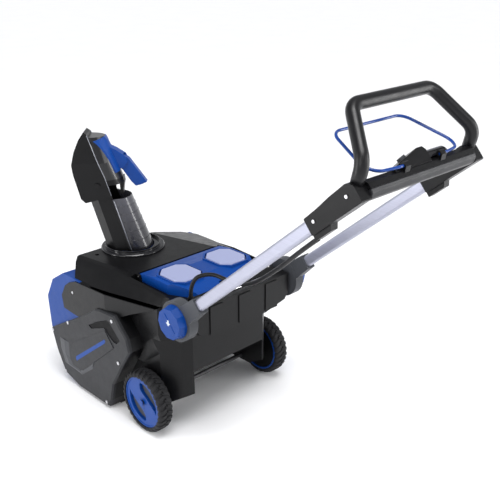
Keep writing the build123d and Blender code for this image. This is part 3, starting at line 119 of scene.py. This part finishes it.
def scaled(color, factor):
    """A colour made lighter or darker."""
    return (color[0] * factor, color[1] * factor, color[2] * factor, 1)


def moulded(
    name, color, roughness=0.5, grain=900.0, grain_depth=0.00006, variation=0.14, coat=0.0, gloss=0.24
):
    """Moulded plastic or rubber: a fine spark-eroded grain, uneven gloss and faint scuffs."""
    material, tree, shader = node_material(name)
    coords = tree.nodes.new("ShaderNodeTexCoord")
    broad = noise(tree, coords, 6.0, 5.0)
    tint = ramp(tree, broad.outputs["Fac"], [
        (0.32, scaled(color, 1 - variation)), (0.5, color), (0.7, scaled(color, 1 + variation)),
    ])
    tree.links.new(tint.outputs["Color"], shader.inputs["Base Color"])
    scuff = noise(tree, coords, 38.0, 8.0, 0.7)
    patchy = add_node(
        tree, "ShaderNodeMapRange", From_Min=0.3, From_Max=0.7, To_Min=roughness - 0.06,
        To_Max=roughness + 0.08,
    )
    tree.links.new(scuff.outputs["Fac"], patchy.inputs["Value"])
    tree.links.new(patchy.outputs["Result"], shader.inputs["Roughness"])
    fine = noise(tree, coords, grain, 3.0, 0.6)
    bump = add_node(tree, "ShaderNodeBump", Strength=1.0, Distance=grain_depth)
    tree.links.new(fine.outputs["Fac"], bump.inputs["Height"])
    tree.links.new(bump.outputs["Normal"], shader.inputs["Normal"])
    shader.inputs["Coat Weight"].default_value = coat
    shader.inputs["Coat Roughness"].default_value = 0.12
    shader.inputs["Specular IOR Level"].default_value = gloss
    return material


def two_tone(name, front, rear, border, soft):
    """Moulded plastic that is one colour ahead of a line across the machine and another behind it."""
    material = moulded(name, front, roughness=0.4, variation=0.08)
    tree = material.node_tree
    shader = tree.nodes["Principled BSDF"]
    front_tint = shader.inputs["Base Color"].links[0].from_socket
    coords = tree.nodes.new("ShaderNodeTexCoord")
    split = tree.nodes.new("ShaderNodeSeparateXYZ")
    tree.links.new(coords.outputs["Object"], split.inputs["Vector"])
    place = add_node(tree, "ShaderNodeMapRange", From_Min=border - soft, From_Max=border + soft)
    tree.links.new(split.outputs["Y"], place.inputs["Value"])
    mix = tree.nodes.new("ShaderNodeMix")
    mix.data_type = "RGBA"
    mix.inputs["B"].default_value = rear
    tree.links.new(place.outputs["Result"], mix.inputs["Factor"])
    tree.links.new(front_tint, mix.inputs["A"])
    tree.links.new(mix.outputs["Result"], shader.inputs["Base Color"])
    return material


def brushed(name, color, roughness, stretch, metallic=1.0):
    """Drawn or plated metal with fine lines along one direction."""
    material, tree, shader = node_material(name)
    coords = tree.nodes.new("ShaderNodeTexCoord")
    mapping = add_node(tree, "ShaderNodeMapping", Scale=stretch, Rotation=(-handle_lean, 0, 0))
    tree.links.new(coords.outputs["Object"], mapping.inputs["Vector"])
    lines = add_node(tree, "ShaderNodeTexNoise", Scale=60.0, Detail=4.0)
    tree.links.new(mapping.outputs["Vector"], lines.inputs["Vector"])
    tint = ramp(tree, lines.outputs["Fac"], [(0.3, scaled(color, 0.93)), (0.7, scaled(color, 1.05))])
    tree.links.new(tint.outputs["Color"], shader.inputs["Base Color"])
    gloss = add_node(tree, "ShaderNodeMapRange", To_Min=roughness - 0.05, To_Max=roughness + 0.07)
    tree.links.new(lines.outputs["Fac"], gloss.inputs["Value"])
    tree.links.new(gloss.outputs["Result"], shader.inputs["Roughness"])
    bump = add_node(tree, "ShaderNodeBump", Distance=0.00003)
    tree.links.new(lines.outputs["Fac"], bump.inputs["Height"])
    tree.links.new(bump.outputs["Normal"], shader.inputs["Normal"])
    shader.inputs["Metallic"].default_value = metallic
    return material


def clear_plastic(name, low, high, z_low, z_high, transmission, roughness):
    """Tinted clear plastic whose colour changes with height, from the low colour to the high one: painted
    shade low down and painted light higher up.
    """
    material, tree, shader = node_material(name)
    coords = tree.nodes.new("ShaderNodeTexCoord")
    split = tree.nodes.new("ShaderNodeSeparateXYZ")
    tree.links.new(coords.outputs["Object"], split.inputs["Vector"])
    cloud = noise(tree, coords, 14.0, 3.0)
    wobble = tree.nodes.new("ShaderNodeMath")
    wobble.operation = "MULTIPLY_ADD"
    wobble.inputs[1].default_value = 0.05
    tree.links.new(cloud.outputs["Fac"], wobble.inputs[0])
    tree.links.new(split.outputs["Z"], wobble.inputs[2])
    place = add_node(tree, "ShaderNodeMapRange", From_Min=z_low, From_Max=z_high)
    tree.links.new(wobble.outputs["Value"], place.inputs["Value"])
    tint = ramp(tree, place.outputs["Result"], [(0.0, low), (1.0, high)])
    tree.links.new(tint.outputs["Color"], shader.inputs["Base Color"])
    shader.inputs["Roughness"].default_value = roughness
    shader.inputs["Transmission Weight"].default_value = transmission
    shader.inputs["IOR"].default_value = 1.45
    shader.inputs["Coat Weight"].default_value = 0.4
    return material


body_plastic = moulded("body_plastic", BLACK, roughness=0.33, gloss=0.22)
cover_plastic = moulded("cover_plastic", COVER_GREY, roughness=0.44)
blue_plastic = moulded("blue_plastic", BLUE, roughness=0.38, variation=0.08)
shell_plastic = two_tone("shell_plastic", BLUE, BLACK, axle_y - 0.262, 0.001)
hub_blue = moulded("hub_blue", BLUE, roughness=0.34, variation=0.08, coat=0.1)
grey_plastic = moulded("grey_plastic", ELBOW_GREY, roughness=0.42)
dark_plastic = moulded("dark_plastic", (0.02, 0.0205, 0.023, 1), roughness=0.38)
cover_light = moulded("cover_light", (0.055, 0.057, 0.064, 1), roughness=0.4)
recess_black = moulded("recess_black", (0.003, 0.003, 0.0035, 1), roughness=0.6, gloss=0.15)
recess_grey = moulded("recess_grey", (0.05, 0.052, 0.058, 1), roughness=0.5)
# painted highlight: a light grey for thin strips along glossy flange edges, where those edges catch the
# light
painted_edge_highlight = moulded("painted_edge_highlight", (0.22, 0.23, 0.26, 1), roughness=0.22, coat=0.5)
mark_white = moulded("mark_white", (0.62, 0.66, 0.74, 1), roughness=0.4)
gloss_black = moulded(
    "gloss_black", (0.008, 0.008, 0.01, 1), roughness=0.16, grain=200, grain_depth=0.00001, coat=0.5
)
tyre_rubber = moulded(
    "tyre_rubber", (0.013, 0.013, 0.0145, 1), roughness=0.62, grain=420, grain_depth=0.00012
)
auger_rubber = moulded(
    "auger_rubber", (0.012, 0.012, 0.013, 1), roughness=0.6, grain=300, grain_depth=0.0001
)
foam = moulded(
    "foam", (0.0045, 0.0045, 0.0055, 1), roughness=0.34, grain=1400, grain_depth=0.0001, gloss=0.35
)
cable_rubber = moulded("cable_rubber", (0.008, 0.008, 0.009, 1), roughness=0.4, grain=500)
bail_paint = moulded(
    "bail_paint", (0.0006, 0.04, 0.24, 1), roughness=0.24, grain=160, grain_depth=0.00002, coat=0.5
)
satin_paint = moulded("satin_paint", (0.02, 0.02, 0.022, 1), roughness=0.35, coat=0.2)
scraper_plastic = moulded("scraper_plastic", (0.02, 0.02, 0.022, 1), roughness=0.6, variation=0.3)
board_green = moulded("board_green", (0.01, 0.12, 0.04, 1), roughness=0.4)
tube_metal = brushed("tube_metal", (0.42, 0.43, 0.52, 1), 0.32, (9.0, 0.4, 9.0), metallic=0.75)
steel = brushed("steel", (0.62, 0.62, 0.64, 1), 0.28, (4.0, 4.0, 4.0))
black_steel = brushed("black_steel", (0.03, 0.03, 0.033, 1), 0.3, (0.5, 9.0, 9.0), metallic=0.3)
rail_metal = brushed("rail_metal", (0.82, 0.82, 0.86, 1), 0.2, (0.5, 9.0, 9.0))
pulley_metal = brushed("pulley_metal", (0.6, 0.6, 0.6, 1), 0.35, (3.0, 9.0, 9.0))
# The lid windows are painted a little lighter towards their top edge: painted light.
window_plastic = clear_plastic(
    "window_plastic", (0.25, 0.28, 0.47, 1), (0.30, 0.33, 0.52, 1), 0.398, 0.414, 0.0, 0.5
)
# Smoky clear plastic for the chute window: near black at its foot and lighter grey towards its top, painted
# shade low down and a painted highlight higher up.
smoky_plastic = clear_plastic(
    "smoky_plastic", (0.004, 0.004, 0.006, 1), (0.055, 0.055, 0.068, 1), 0.42, 0.57, 0.1, 0.26
)
smoky_dark = clear_plastic(
    "smoky_dark", (0.004, 0.004, 0.005, 1), (0.006, 0.006, 0.008, 1), 0.60, 0.74, 0.0, 0.3
)

looks = (
    (shell_plastic, "auger_shell"),
    (scraper_plastic, "scraper_bar"),
    (steel, "auger_bearings auger_shaft motor_shaft lid_hinge_pin cover_screws pivot_pins"),
    (steel, "loop_core bracket_screws"),
    (auger_rubber, "auger_flights auger_paddles drive_belt"),
    (pulley_metal, "auger_pulley motor_pulley idler_pulley"),
    (satin_paint, "motor"),
    (body_plastic, "lower_body hood lid_latch battery_bay left_upper_bracket right_upper_bracket"),
    (body_plastic, "crossbar_upper bail_switch chute_channel deflector tilt_pins"),
    (blue_plastic, "battery_lid left_pivot_button right_pivot_button deflector_grip"),
    (blue_plastic, "deflector_trigger trigger_pin"),
    (window_plastic, "lid_windows"),
    (cover_plastic, "left_battery right_battery left_side_cover right_side_cover"),
    (board_green, "controller_board"),
    (black_steel, "wheel_axle"),
    (hub_blue, "axle_retainers left_hub right_hub"),
    (tyre_rubber, "left_tyre right_tyre"),
    (grey_plastic, "left_elbow right_elbow"),
    (tube_metal, "left_tube right_tube"),
    (foam, "foam_grip"),
    (dark_plastic, "crossbar_lower"),
    (gloss_black, "lamp_cover chute_ring"),
    (recess_grey, "safety_button"),
    (bail_paint, "bail_lever"),
    (cable_rubber, "control_cable"),
    (rail_metal, "rear_rail"),
    (smoky_plastic, "chute_window"),
    (smoky_dark, "deflector_back"),
)
for material, node_names in looks:
    for node_name in node_names.split():
        for material_slot in nodes[node_name].material_slots:
            material_slot.material = material


# ================================================================ softened edges on the CAD nodes
def bevel_edges(piece, width, segments=2, angle=35):
    """Rounds a piece's sharp edges."""
    bevel = piece.modifiers.new("edges", "BEVEL")
    bevel.width = width
    bevel.segments = segments
    bevel.limit_method = "ANGLE"
    bevel.angle_limit = math.radians(angle)


def soften(node_name, width):
    """Rounds a node's sharp edges as moulding leaves them."""
    node = nodes[node_name]
    weld = node.modifiers.new("weld", "WELD")
    weld.merge_threshold = 0.00002
    bevel_edges(node, width, angle=28)
    normals = node.modifiers.new("normals", "WEIGHTED_NORMAL")
    normals.keep_sharp = True


edge_widths = (
    (0.0035, "hood"),
    (0.003, "left_elbow right_elbow deflector_trigger"),
    (0.0025, "lower_body"),
    (0.0022, "battery_lid left_upper_bracket right_upper_bracket"),
    (0.002, "auger_shell left_pivot_button right_pivot_button crossbar_upper crossbar_lower"),
    (0.0015, "left_side_cover right_side_cover auger_paddles"),
    (0.0014, "deflector_grip"),
    (0.0012, "lid_windows deflector"),
    (0.001, "left_hub right_hub chute_ring lamp_cover lid_latch scraper_bar"),
    (0.0008, "chute_channel safety_button"),
)
for width, node_names in edge_widths:
    for node_name in node_names.split():
        soften(node_name, width)


# ================================================================ tools for new pieces
def new_object(name, vertices, faces, material, smooth=True):
    """A mesh object from vertices and faces."""
    mesh = bpy.data.meshes.new(name)
    mesh.from_pydata([tuple(vertex) for vertex in vertices], [], faces)
    mesh.update()
    mesh.materials.append(material)
    for polygon in mesh.polygons:
        polygon.use_smooth = smooth
    piece = bpy.data.objects.new(name, mesh)
    bpy.context.scene.collection.objects.link(piece)
    return piece


def close_normals(piece):
    """Turns every face of a closed mesh outwards."""
    work = bmesh.new()
    work.from_mesh(piece.data)
    bmesh.ops.recalc_face_normals(work, faces=work.faces)
    work.to_mesh(piece.data)
    work.free()


def finished(piece, body):
    """Turns a closed piece's faces outwards, then gives it its body."""
    close_normals(piece)
    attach(piece, body)


def slab(name, outline, low_x, high_x, material, body, bevel):
    """A plate between two planes across X; outline holds (y, z) mm from the wheel axle's line."""
    points = [(axle_y + y / 1000, z / 1000) for y, z in outline]
    vertices = [Vector((x, y, z)) for x in (low_x, high_x) for y, z in points]
    count = len(points)
    faces = [tuple(range(count)), tuple(reversed(range(count, 2 * count)))]
    faces += [(i, i + count, (i + 1) % count + count, (i + 1) % count) for i in range(count)]
    plate = new_object(name, vertices, faces, material, smooth=False)
    finished(plate, body)
    bevel_edges(plate, bevel)


def rounded(points, radius, steps):
    """The same path with its corners turned into arcs of that radius."""
    path = [points[0]]
    for before, corner, after in zip(points, points[1:], points[2:]):
        back = (before - corner).normalized()
        ahead = (after - corner).normalized()
        half_angle = back.angle(ahead) / 2
        reach = radius / math.tan(half_angle)
        centre = corner + (back + ahead).normalized() * (radius / math.sin(half_angle))
        start = corner + back * reach - centre
        end = corner + ahead * reach - centre
        turn = start.angle(end)
        for step in range(steps + 1):
            share = step / steps
            arm = start * math.sin((1 - share) * turn) + end * math.sin(share * turn)
            path.append(centre + arm / math.sin(turn))
    path.append(points[-1])
    return path


def ring_faces(rings, sides):
    """The faces of a closed body whose points lie ring after ring, with a cap at each end."""
    faces = []
    for ring in range(rings - 1):
        for number in range(sides):
            a = ring * sides + number
            b = ring * sides + (number + 1) % sides
            faces.append((a, b, b + sides, a + sides))
    faces.append(tuple(reversed(range(sides))))
    last = (rings - 1) * sides
    faces.append(tuple(range(last, last + sides)))
    return faces


def tube(name, points, radius, material, body, sides, radii=None):
    """A round bar along points; radii scales it at each point, and its ends are closed."""
    vertices = []
    side = None
    for index, point in enumerate(points):
        ahead = points[min(index + 1, len(points) - 1)] - points[max(index - 1, 0)]
        ahead.normalize()
        if side is None:
            side = ahead.orthogonal().normalized()
        side = (side - ahead * side.dot(ahead)).normalized()
        other = ahead.cross(side)
        size = radius * (radii[index] if radii else 1.0)
        for number in range(sides):
            angle = 2 * math.pi * number / sides
            vertices.append(point + (side * math.cos(angle) + other * math.sin(angle)) * size)
    bar = new_object(name, vertices, ring_faces(len(points), sides), material)
    finished(bar, body)
    return bar


def on_arm(x, along, above):
    """A point of the handle in mm: across, along the tubes from the pivot, and above them."""
    return Vector((
        x / 1000,
        pivot.y + (along * math.cos(handle_lean) - above * math.sin(handle_lean)) / 1000,
        pivot.z + (along * math.sin(handle_lean) + above * math.cos(handle_lean)) / 1000,
    ))


def on_chute(ahead, across, height):
    """A point of the chute in metres: ahead of its axis, across it and its height."""
    return chute_axis + chute_forward * ahead + chute_across * across + Vector((0, 0, height))


def around_x(x, radius, angle, centre):
    """A point at an angle round a line along X."""
    return Vector((x, centre.y + radius * math.cos(angle), centre.z + radius * math.sin(angle)))


# ================================================================ tyres with a block tread
def tread_block(vertices, faces, centre, section, start, slant, width):
    """One rubber block that follows section, pairs of (x, radius); slant turns it as it goes across."""
    base = len(vertices)
    count = len(section)
    for index, (x, radius) in enumerate(section):
        angle = start + slant * index / (count - 1)
        for side in (-1, 1):
            vertices.append(around_x(x, radius - tread_root, angle + side * width * 0.62, centre))
            vertices.append(around_x(x, radius, angle + side * width * 0.5, centre))
    for index in range(count - 1):
        a = base + index * 4
        b = a + 4
        faces.extend([(a + 1, b + 1, b + 3, a + 3), (a, b, b + 1, a + 1), (a + 3, b + 3, b + 2, a + 2)])
    last = base + (count - 1) * 4
    faces.extend([(base, base + 1, base + 3, base + 2), (last + 2, last + 3, last + 1, last)])


def make_tyre(node_name, body):
    """A solid tyre: smooth carcass with slanted blocks that turn down over the shoulders."""
    low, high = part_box(node_name)
    centre = Vector(((low[0] + high[0]) / 2, (low[1] + high[1]) / 2, (low[2] + high[2]) / 2))
    half = (high[0] - low[0]) / 2
    outer = (high[2] - low[2]) / 2
    steps = 96
    profile = [
        (-half + 0.002, tyre_bead_r), (-half + 0.0012, tyre_bead_r + 0.004), (-half + 0.0016, tyre_wall_r),
        (-half + 0.005, tyre_shoulder_r), (-half + 0.011, tyre_floor_r), (half - 0.011, tyre_floor_r),
        (half - 0.005, tyre_shoulder_r), (half - 0.0016, tyre_wall_r), (half - 0.0012, tyre_bead_r + 0.004),
        (half - 0.002, tyre_bead_r),
    ]
    vertices = []
    faces = []
    for step in range(steps):
        angle = 2 * math.pi * step / steps
        for x, radius in profile:
            vertices.append(around_x(centre.x + x, radius, angle, centre))
    count = len(profile)
    for step in range(steps):
        a = step * count
        b = ((step + 1) % steps) * count
        for index in range(count - 1):
            faces.append((a + index, b + index, b + index + 1, a + index + 1))
        faces.append((a + count - 1, b + count - 1, b, a))
    pitch = 2 * math.pi / tread_count
    for number in range(tread_count):
        for side in (-1, 1):
            start = pitch * (number + (0.0 if side < 0 else 0.5))
            section = [
                (centre.x + side * 0.0022, outer - 0.0001), (centre.x + side * 0.008, outer),
                (centre.x + side * 0.0135, outer - 0.0004),
                (centre.x + side * (half - 0.004), outer - 0.0028),
                (centre.x + side * (half - 0.0004), outer - 0.0075),
                (centre.x + side * (half - 0.0003), outer - 0.0105),
            ]
            tread_block(vertices, faces, centre, section, start, -pitch * 0.62, pitch * 0.5)
        middle = [(centre.x - 0.0026, outer - 0.0004), (centre.x + 0.0026, outer - 0.0004)]
        tread_block(vertices, faces, centre, middle, pitch * (number + 0.78), pitch * 0.2, pitch * 0.3)
    tyre = new_object(node_name + "_rubber", vertices, faces, tyre_rubber, smooth=False)
    bevel_edges(tyre, 0.0006)
    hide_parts(node_name)
    finished(tyre, body)


for side_name, _ in hands:
    make_tyre(side_name + "_tyre", side_name + "_wheel")

# ================================================================ control cable
cable_route = [
    (140, 103, 400), (140, 103, 450), (104, 140, 467), (96, 192, 460), (110, 280, 478), (153, 412, 574),
    (180, 505, 655), (190, 555.5, 696.1),
]
curve = bpy.data.curves.new("control_cable_jacket", "CURVE")
curve.dimensions = "3D"
curve.bevel_depth = cable_r
curve.bevel_resolution = 6
curve.resolution_u = 10
spline = curve.splines.new("NURBS")
spline.points.add(len(cable_route) - 1)
for point, (x, y, z) in zip(spline.points, cable_route):
    point.co = (x / 1000, axle_y + y / 1000, z / 1000, 1)
spline.order_u = 3
spline.use_endpoint_u = True
source = bpy.data.objects.new("control_cable_source", curve)
bpy.context.scene.collection.objects.link(source)
bpy.context.view_layer.update()
cable_mesh = bpy.data.meshes.new_from_object(source)
bpy.data.objects.remove(source)
cable = bpy.data.objects.new("control_cable_jacket", cable_mesh)
cable_mesh.materials.clear()
cable_mesh.materials.append(cable_rubber)
for polygon in cable_mesh.polygons:
    polygon.use_smooth = True
bpy.context.scene.collection.objects.link(cable)
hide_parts("control_cable")
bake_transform(cable)

# ================================================================ foam grip
loop_low = on_arm(186, 664, -6)
loop_shoulder = on_arm(185, 731, 40)
foam_start = loop_low.lerp(loop_shoulder, 0.36)
loop_corner = on_arm(129, 727, 155)
half_path = [foam_start, loop_shoulder, loop_corner]
mirrored = [Vector((-point.x, point.y, point.z)) for point in reversed(half_path)]
foam_path = rounded(half_path + mirrored, foam_bend, steps=12)
foam_grip = tube(
    "foam_sleeve", foam_path, foam_r, foam, "handle", sides=28,
    radii=[0.93] + [1.0] * (len(foam_path) - 2) + [0.93],
)
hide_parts("foam_grip")

# ================================================================ side covers
finger_recess = [
    (-216, 240), (-177, 264), (-130, 286), (-115, 286), (-70, 248), (-84, 236), (-100, 234), (-141, 260),
    (-203, 236),
]
plain_bar = [(-300, 102), (-296, 96), (-140, 214), (-136, 222), (-140, 226), (-297, 110)]
rim_band = [(-384, 140), (-384, 106), (-367, 60), (-276, 56), (-216, 100)]
rim_inside = [(-330, 141), (-331, 84), (-318, 72), (-282, 70), (-204, 134)]
panel_rise = 0.0015
recess_depth = 0.0036
# how far the band stands out from the cover at its outer edge, its crest and its inner edge
band_rises = (-0.0004, 0.0016, -0.0012)
band_root = -0.003


def outer_face(node_name, hand):
    """The x of a node's outer side."""
    low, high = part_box(node_name)
    return high[0] if hand > 0 else low[0]


def cover_details(side_name, hand):
    """The black finger recess, a plain bar, and the pale band round the raised panel."""
    panel_x = outer_face(side_name + "_side_cover", hand)
    face_x = panel_x - hand * panel_rise
    floor_x = face_x - hand * recess_depth
    slab(
        side_name + "_finger_recess", finger_recess, floor_x, floor_x + hand * 0.0014, recess_black,
        "chassis", 0.0003,
    )
    slab(
        side_name + "_cover_bar", plain_bar, panel_x - hand * 0.0002, panel_x + hand * 0.0003, blue_plastic,
        "chassis", 0.0001,
    )
    vertices = []
    faces = []
    for (y, z), (inner_y, inner_z) in zip(rim_band, rim_inside):
        middle = ((y + inner_y) / 2, (z + inner_z) / 2)
        section = zip(((y, z), middle, (inner_y, inner_z), middle), band_rises + (band_root,))
        for (point_y, point_z), rise in section:
            vertices.append(Vector((face_x + hand * rise, axle_y + point_y / 1000, point_z / 1000)))
    for index in range(len(rim_band) - 1):
        a = index * 4
        b = a + 4
        faces += [(a, b, b + 1, a + 1), (a + 1, b + 1, b + 2, a + 2)]
        faces += [(a + 2, b + 2, b + 3, a + 3), (a + 3, b + 3, b, a)]
    end = (len(rim_band) - 1) * 4
    faces += [(0, 1, 2, 3), (end + 3, end + 2, end + 1, end)]
    band = new_object(side_name + "_cover_band", vertices, faces, cover_light, smooth=False)
    bevel_edges(band, 0.0012, segments=3, angle=5)
    finished(band, "chassis")


for side_name, hand in hands:
    cover_details(side_name, hand)


# ================================================================ screws and slots on the body
screw_sides = 20
# radius and height of the head's rings, in head radii, from its root to its flat top
screw_rings = ((1.0, -0.3), (1.0, 0.18), (0.9, 0.38), (0.62, 0.52), (0.3, 0.56))
screw_recess = 0.28


def screw(name, centre, hand, radius):
    """A round-headed screw on the chassis that faces sideways, with a cross recess."""
    outward = Vector((hand, 0, 0))
    side = outward.orthogonal().normalized()
    other = outward.cross(side)
    vertices = []
    for size, height in screw_rings:
        for number in range(screw_sides):
            angle = 2 * math.pi * number / screw_sides
            arm = (side * math.cos(angle) + other * math.sin(angle)) * radius * size
            dip = screw_recess * radius if size < 0.7 and number % 5 == 0 else 0.0
            vertices.append(centre + arm + outward * (radius * height - dip))
    head = new_object(name, vertices, ring_faces(len(screw_rings), screw_sides), steel)
    finished(head, "chassis")


def from_axle(x, y, z):
    """A point in mm from the wheel axle's line."""
    return Vector((x / 1000, axle_y + y / 1000, z / 1000))


side_slot = [(-51, 316), (-41, 320), (-49, 241), (-59, 239)]
for side_name, hand in hands:
    screw(side_name + "_flare_screw", from_axle(hand * 238.2, -300, 309), hand, 0.0042)
    slab(
        side_name + "_side_slot", side_slot, hand * 0.1985, hand * 0.2006, recess_black,
        "chassis", 0.0004,
    )
    screw(side_name + "_slot_screw", from_axle(hand * 200.8, -54, 246), hand, 0.0034)

# ================================================================ wheel details
hub_z = 87
hub_back_r = 66
lens_rim = 57.0
lens_play = 0.985
lens_inner = [(56, -16), (50, -8), (35, 4), (19, 15), (2, 26), (-9, 38), (-10, 51)]
lens_outer = [
    (lens_rim * math.cos(math.radians(angle)), lens_rim * math.sin(math.radians(angle)))
    for angle in range(96, -12, -9)
]
hub_back = [
    (hub_back_r * math.cos(math.radians(angle)), hub_z + hub_back_r * math.sin(math.radians(angle)))
    for angle in range(0, 360, 10)
]
for side_name, hand in hands:
    for number, turn in ((1, 1), (2, -1)):
        outline = [(turn * y * lens_play, hub_z + turn * z * lens_play) for y, z in lens_outer + lens_inner]
        slab(
            side_name + "_hub_recess_" + str(number), outline, hand * 0.2232, hand * 0.2248, recess_grey,
            side_name + "_wheel", 0.0003,
        )
    slab(
        side_name + "_hub_back", hub_back, hand * 0.1968, hand * 0.1985, recess_black,
        side_name + "_wheel", 0.0004,
    )

# ================================================================ chute details
def channel_edge(height):
    """At a height: how far ahead of the axis channel and window meet, and half the channel's width."""
    climb = (height - chute_foot) / (channel_top - chute_foot)
    return (-2 + 59 * climb) / 1000, (56.4 - 11.4 * climb) / 1000


window_rib_heights = (0.434, 0.462, 0.488, 0.512, 0.534)
window_rib_r = 0.0009
window_rib_steps = 40
for number, height in enumerate(window_rib_heights):
    ahead, half = channel_edge(height)
    depth = (57.5 - 10.1 * (height - chute_foot) / (window_top - chute_foot)) / 1000
    angles = [math.pi * step / window_rib_steps for step in range(2, window_rib_steps - 1)]
    ring = [on_chute(ahead - depth * math.sin(angle), half * math.cos(angle), height) for angle in angles]
    rib_name = "window_rib_" + str(number + 1)
    tube(rib_name, ring, window_rib_r, smoky_plastic, "chute", sides=8)

# Thin light grey strips along the flange edges of the channel and the rear edges of the deflector's cheeks:
# painted highlights where these glossy edges catch the light.
highlight_strip_r = 0.0011
for side_name, hand in hands:
    edge = []
    for height in (chute_foot + 0.004, window_top - 0.002):
        ahead, half = channel_edge(height)
        edge.append(on_chute(ahead - 0.0032, hand * (half + 0.0062), height))
    tube(side_name + "_channel_edge_highlight", edge, highlight_strip_r, painted_edge_highlight, "chute", sides=10)
    rear_edge_highlight = [
        on_chute(0.0440, hand * 0.0535, 0.569), on_chute(0.0595, hand * 0.0512, 0.622),
        on_chute(0.0745, hand * 0.0497, 0.660), on_chute(0.1030, hand * 0.0320, 0.734),
    ]
    tube(
        side_name + "_deflector_edge_highlight", rear_edge_highlight, highlight_strip_r, painted_edge_highlight, "deflector_head",
        sides=10,
    )

# ================================================================ pivot marks
arrow = [(114, 371), (120, 371), (120, 364), (125, 364), (117, 355), (109, 364), (114, 364)]
for side_name, hand in hands:
    button_x = outer_face(side_name + "_pivot_button", hand)
    slab(
        side_name + "_button_arrow", arrow, button_x - hand * 0.0004, button_x + hand * 0.0003, mark_white,
        side_name + "_button", 0.0001,
    )

# ================================================================ floor, light and camera
floor_material, floor_tree, floor_shader = node_material("floor")
floor_coords = floor_tree.nodes.new("ShaderNodeTexCoord")
floor_noise = noise(floor_tree, floor_coords, 3.0, 2.0)
floor_tint = ramp(
    floor_tree, floor_noise.outputs["Fac"], [(0.3, (0.93, 0.93, 0.94, 1)), (0.7, (0.95, 0.95, 0.96, 1))]
)
floor_tree.links.new(floor_tint.outputs["Color"], floor_shader.inputs["Base Color"])
floor_shader.inputs["Roughness"].default_value = 0.9
floor_half = 60.0
floor_corners = [
    (-floor_half, -floor_half, 0), (floor_half, -floor_half, 0), (floor_half, floor_half, 0),
    (-floor_half, floor_half, 0),
]
floor = new_object("floor", floor_corners, [(0, 1, 2, 3)], floor_material, smooth=False)

world = bpy.data.worlds.new("studio")
bpy.context.scene.world = world
world.use_nodes = True
backdrop = world.node_tree.nodes["Background"]
backdrop.inputs["Strength"].default_value = 1.0
# pale at the horizon and dimmer overhead
direction = world.node_tree.nodes.new("ShaderNodeTexCoord")
direction_parts = world.node_tree.nodes.new("ShaderNodeSeparateXYZ")
world.node_tree.links.new(direction.outputs["Generated"], direction_parts.inputs["Vector"])
sky = ramp(world.node_tree, direction_parts.outputs["Z"], [
    (0.0, (0.95, 0.96, 0.98, 1)), (0.12, (0.90, 0.91, 0.93, 1)), (0.4, (0.36, 0.365, 0.375, 1)),
])
world.node_tree.links.new(sky.outputs["Color"], backdrop.inputs["Color"])


machine_centre = Vector((0.0, 0.1, 0.45))
softbox_watts = 24


def hang(lamp, place, toward):
    """Puts a lamp into the scene at a place; toward points back from the machine to the lamp."""
    holder = bpy.data.objects.new(lamp.name, lamp)
    holder.location = place
    holder.rotation_euler = toward.to_track_quat("Z", "Y").to_euler()
    bpy.context.scene.collection.objects.link(holder)


def soft_sun(name, toward, strength, spread):
    """A wide, even light; toward points from the machine to where it comes from."""
    lamp = bpy.data.lights.new(name, "SUN")
    lamp.energy = strength
    lamp.angle = math.radians(spread)
    hang(lamp, (0, 0, 0), Vector(toward))


def softbox(name, place, width, height):
    """A panel light aimed at the machine, which puts long highlights on the glossy parts."""
    lamp = bpy.data.lights.new(name, "AREA")
    lamp.shape = "RECTANGLE"
    lamp.size = width
    lamp.size_y = height
    lamp.energy = softbox_watts
    hang(lamp, place, Vector(place) - machine_centre)


soft_sun("overhead", (0.1, 0.2, 1.0), strength=1.75, spread=40)
soft_sun("left_key", (1.0, 0.25, 0.5), strength=0.6, spread=25)
soft_sun("rear_key", (-0.35, 1.0, 0.45), strength=0.4, spread=25)

softbox("right_strip", (-2.0, 2.0, 0.9), width=0.5, height=1.8)
softbox("left_strip", (2.3, -1.1, 1.0), width=0.5, height=1.8)
softbox("top_panel", (0.2, 0.9, 3.0), width=1.4, height=0.7)
bpy.context.scene.view_settings.view_transform = "Standard"

# the camera stands behind the machine, to its left, and looks down a little
view_azimuth = math.radians(135.9)
view_elevation = math.radians(22.2)
view_roll = math.radians(-0.2)
view_distance = 1.8058
view_target = Vector((0.0763, 0.143, 0.5516))
back = Vector((
    math.sin(view_azimuth) * math.cos(view_elevation), -math.cos(view_azimuth) * math.cos(view_elevation),
    math.sin(view_elevation),
))
level_right = Vector((math.cos(view_azimuth), math.sin(view_azimuth), 0))
level_up = back.cross(level_right)
right = math.cos(view_roll) * level_right + math.sin(view_roll) * level_up
up = back.cross(right)
lens = bpy.data.cameras.new("camera")
lens.sensor_width = 36.0
lens.lens = 55.3392
camera = bpy.data.objects.new("camera", lens)
turn = Matrix((right, up, back)).transposed().to_4x4()
camera.matrix_world = Matrix.Translation(view_target + back * view_distance) @ turn
bpy.context.scene.collection.objects.link(camera)
bpy.context.scene.camera = camera
bpy.context.view_layer.update()
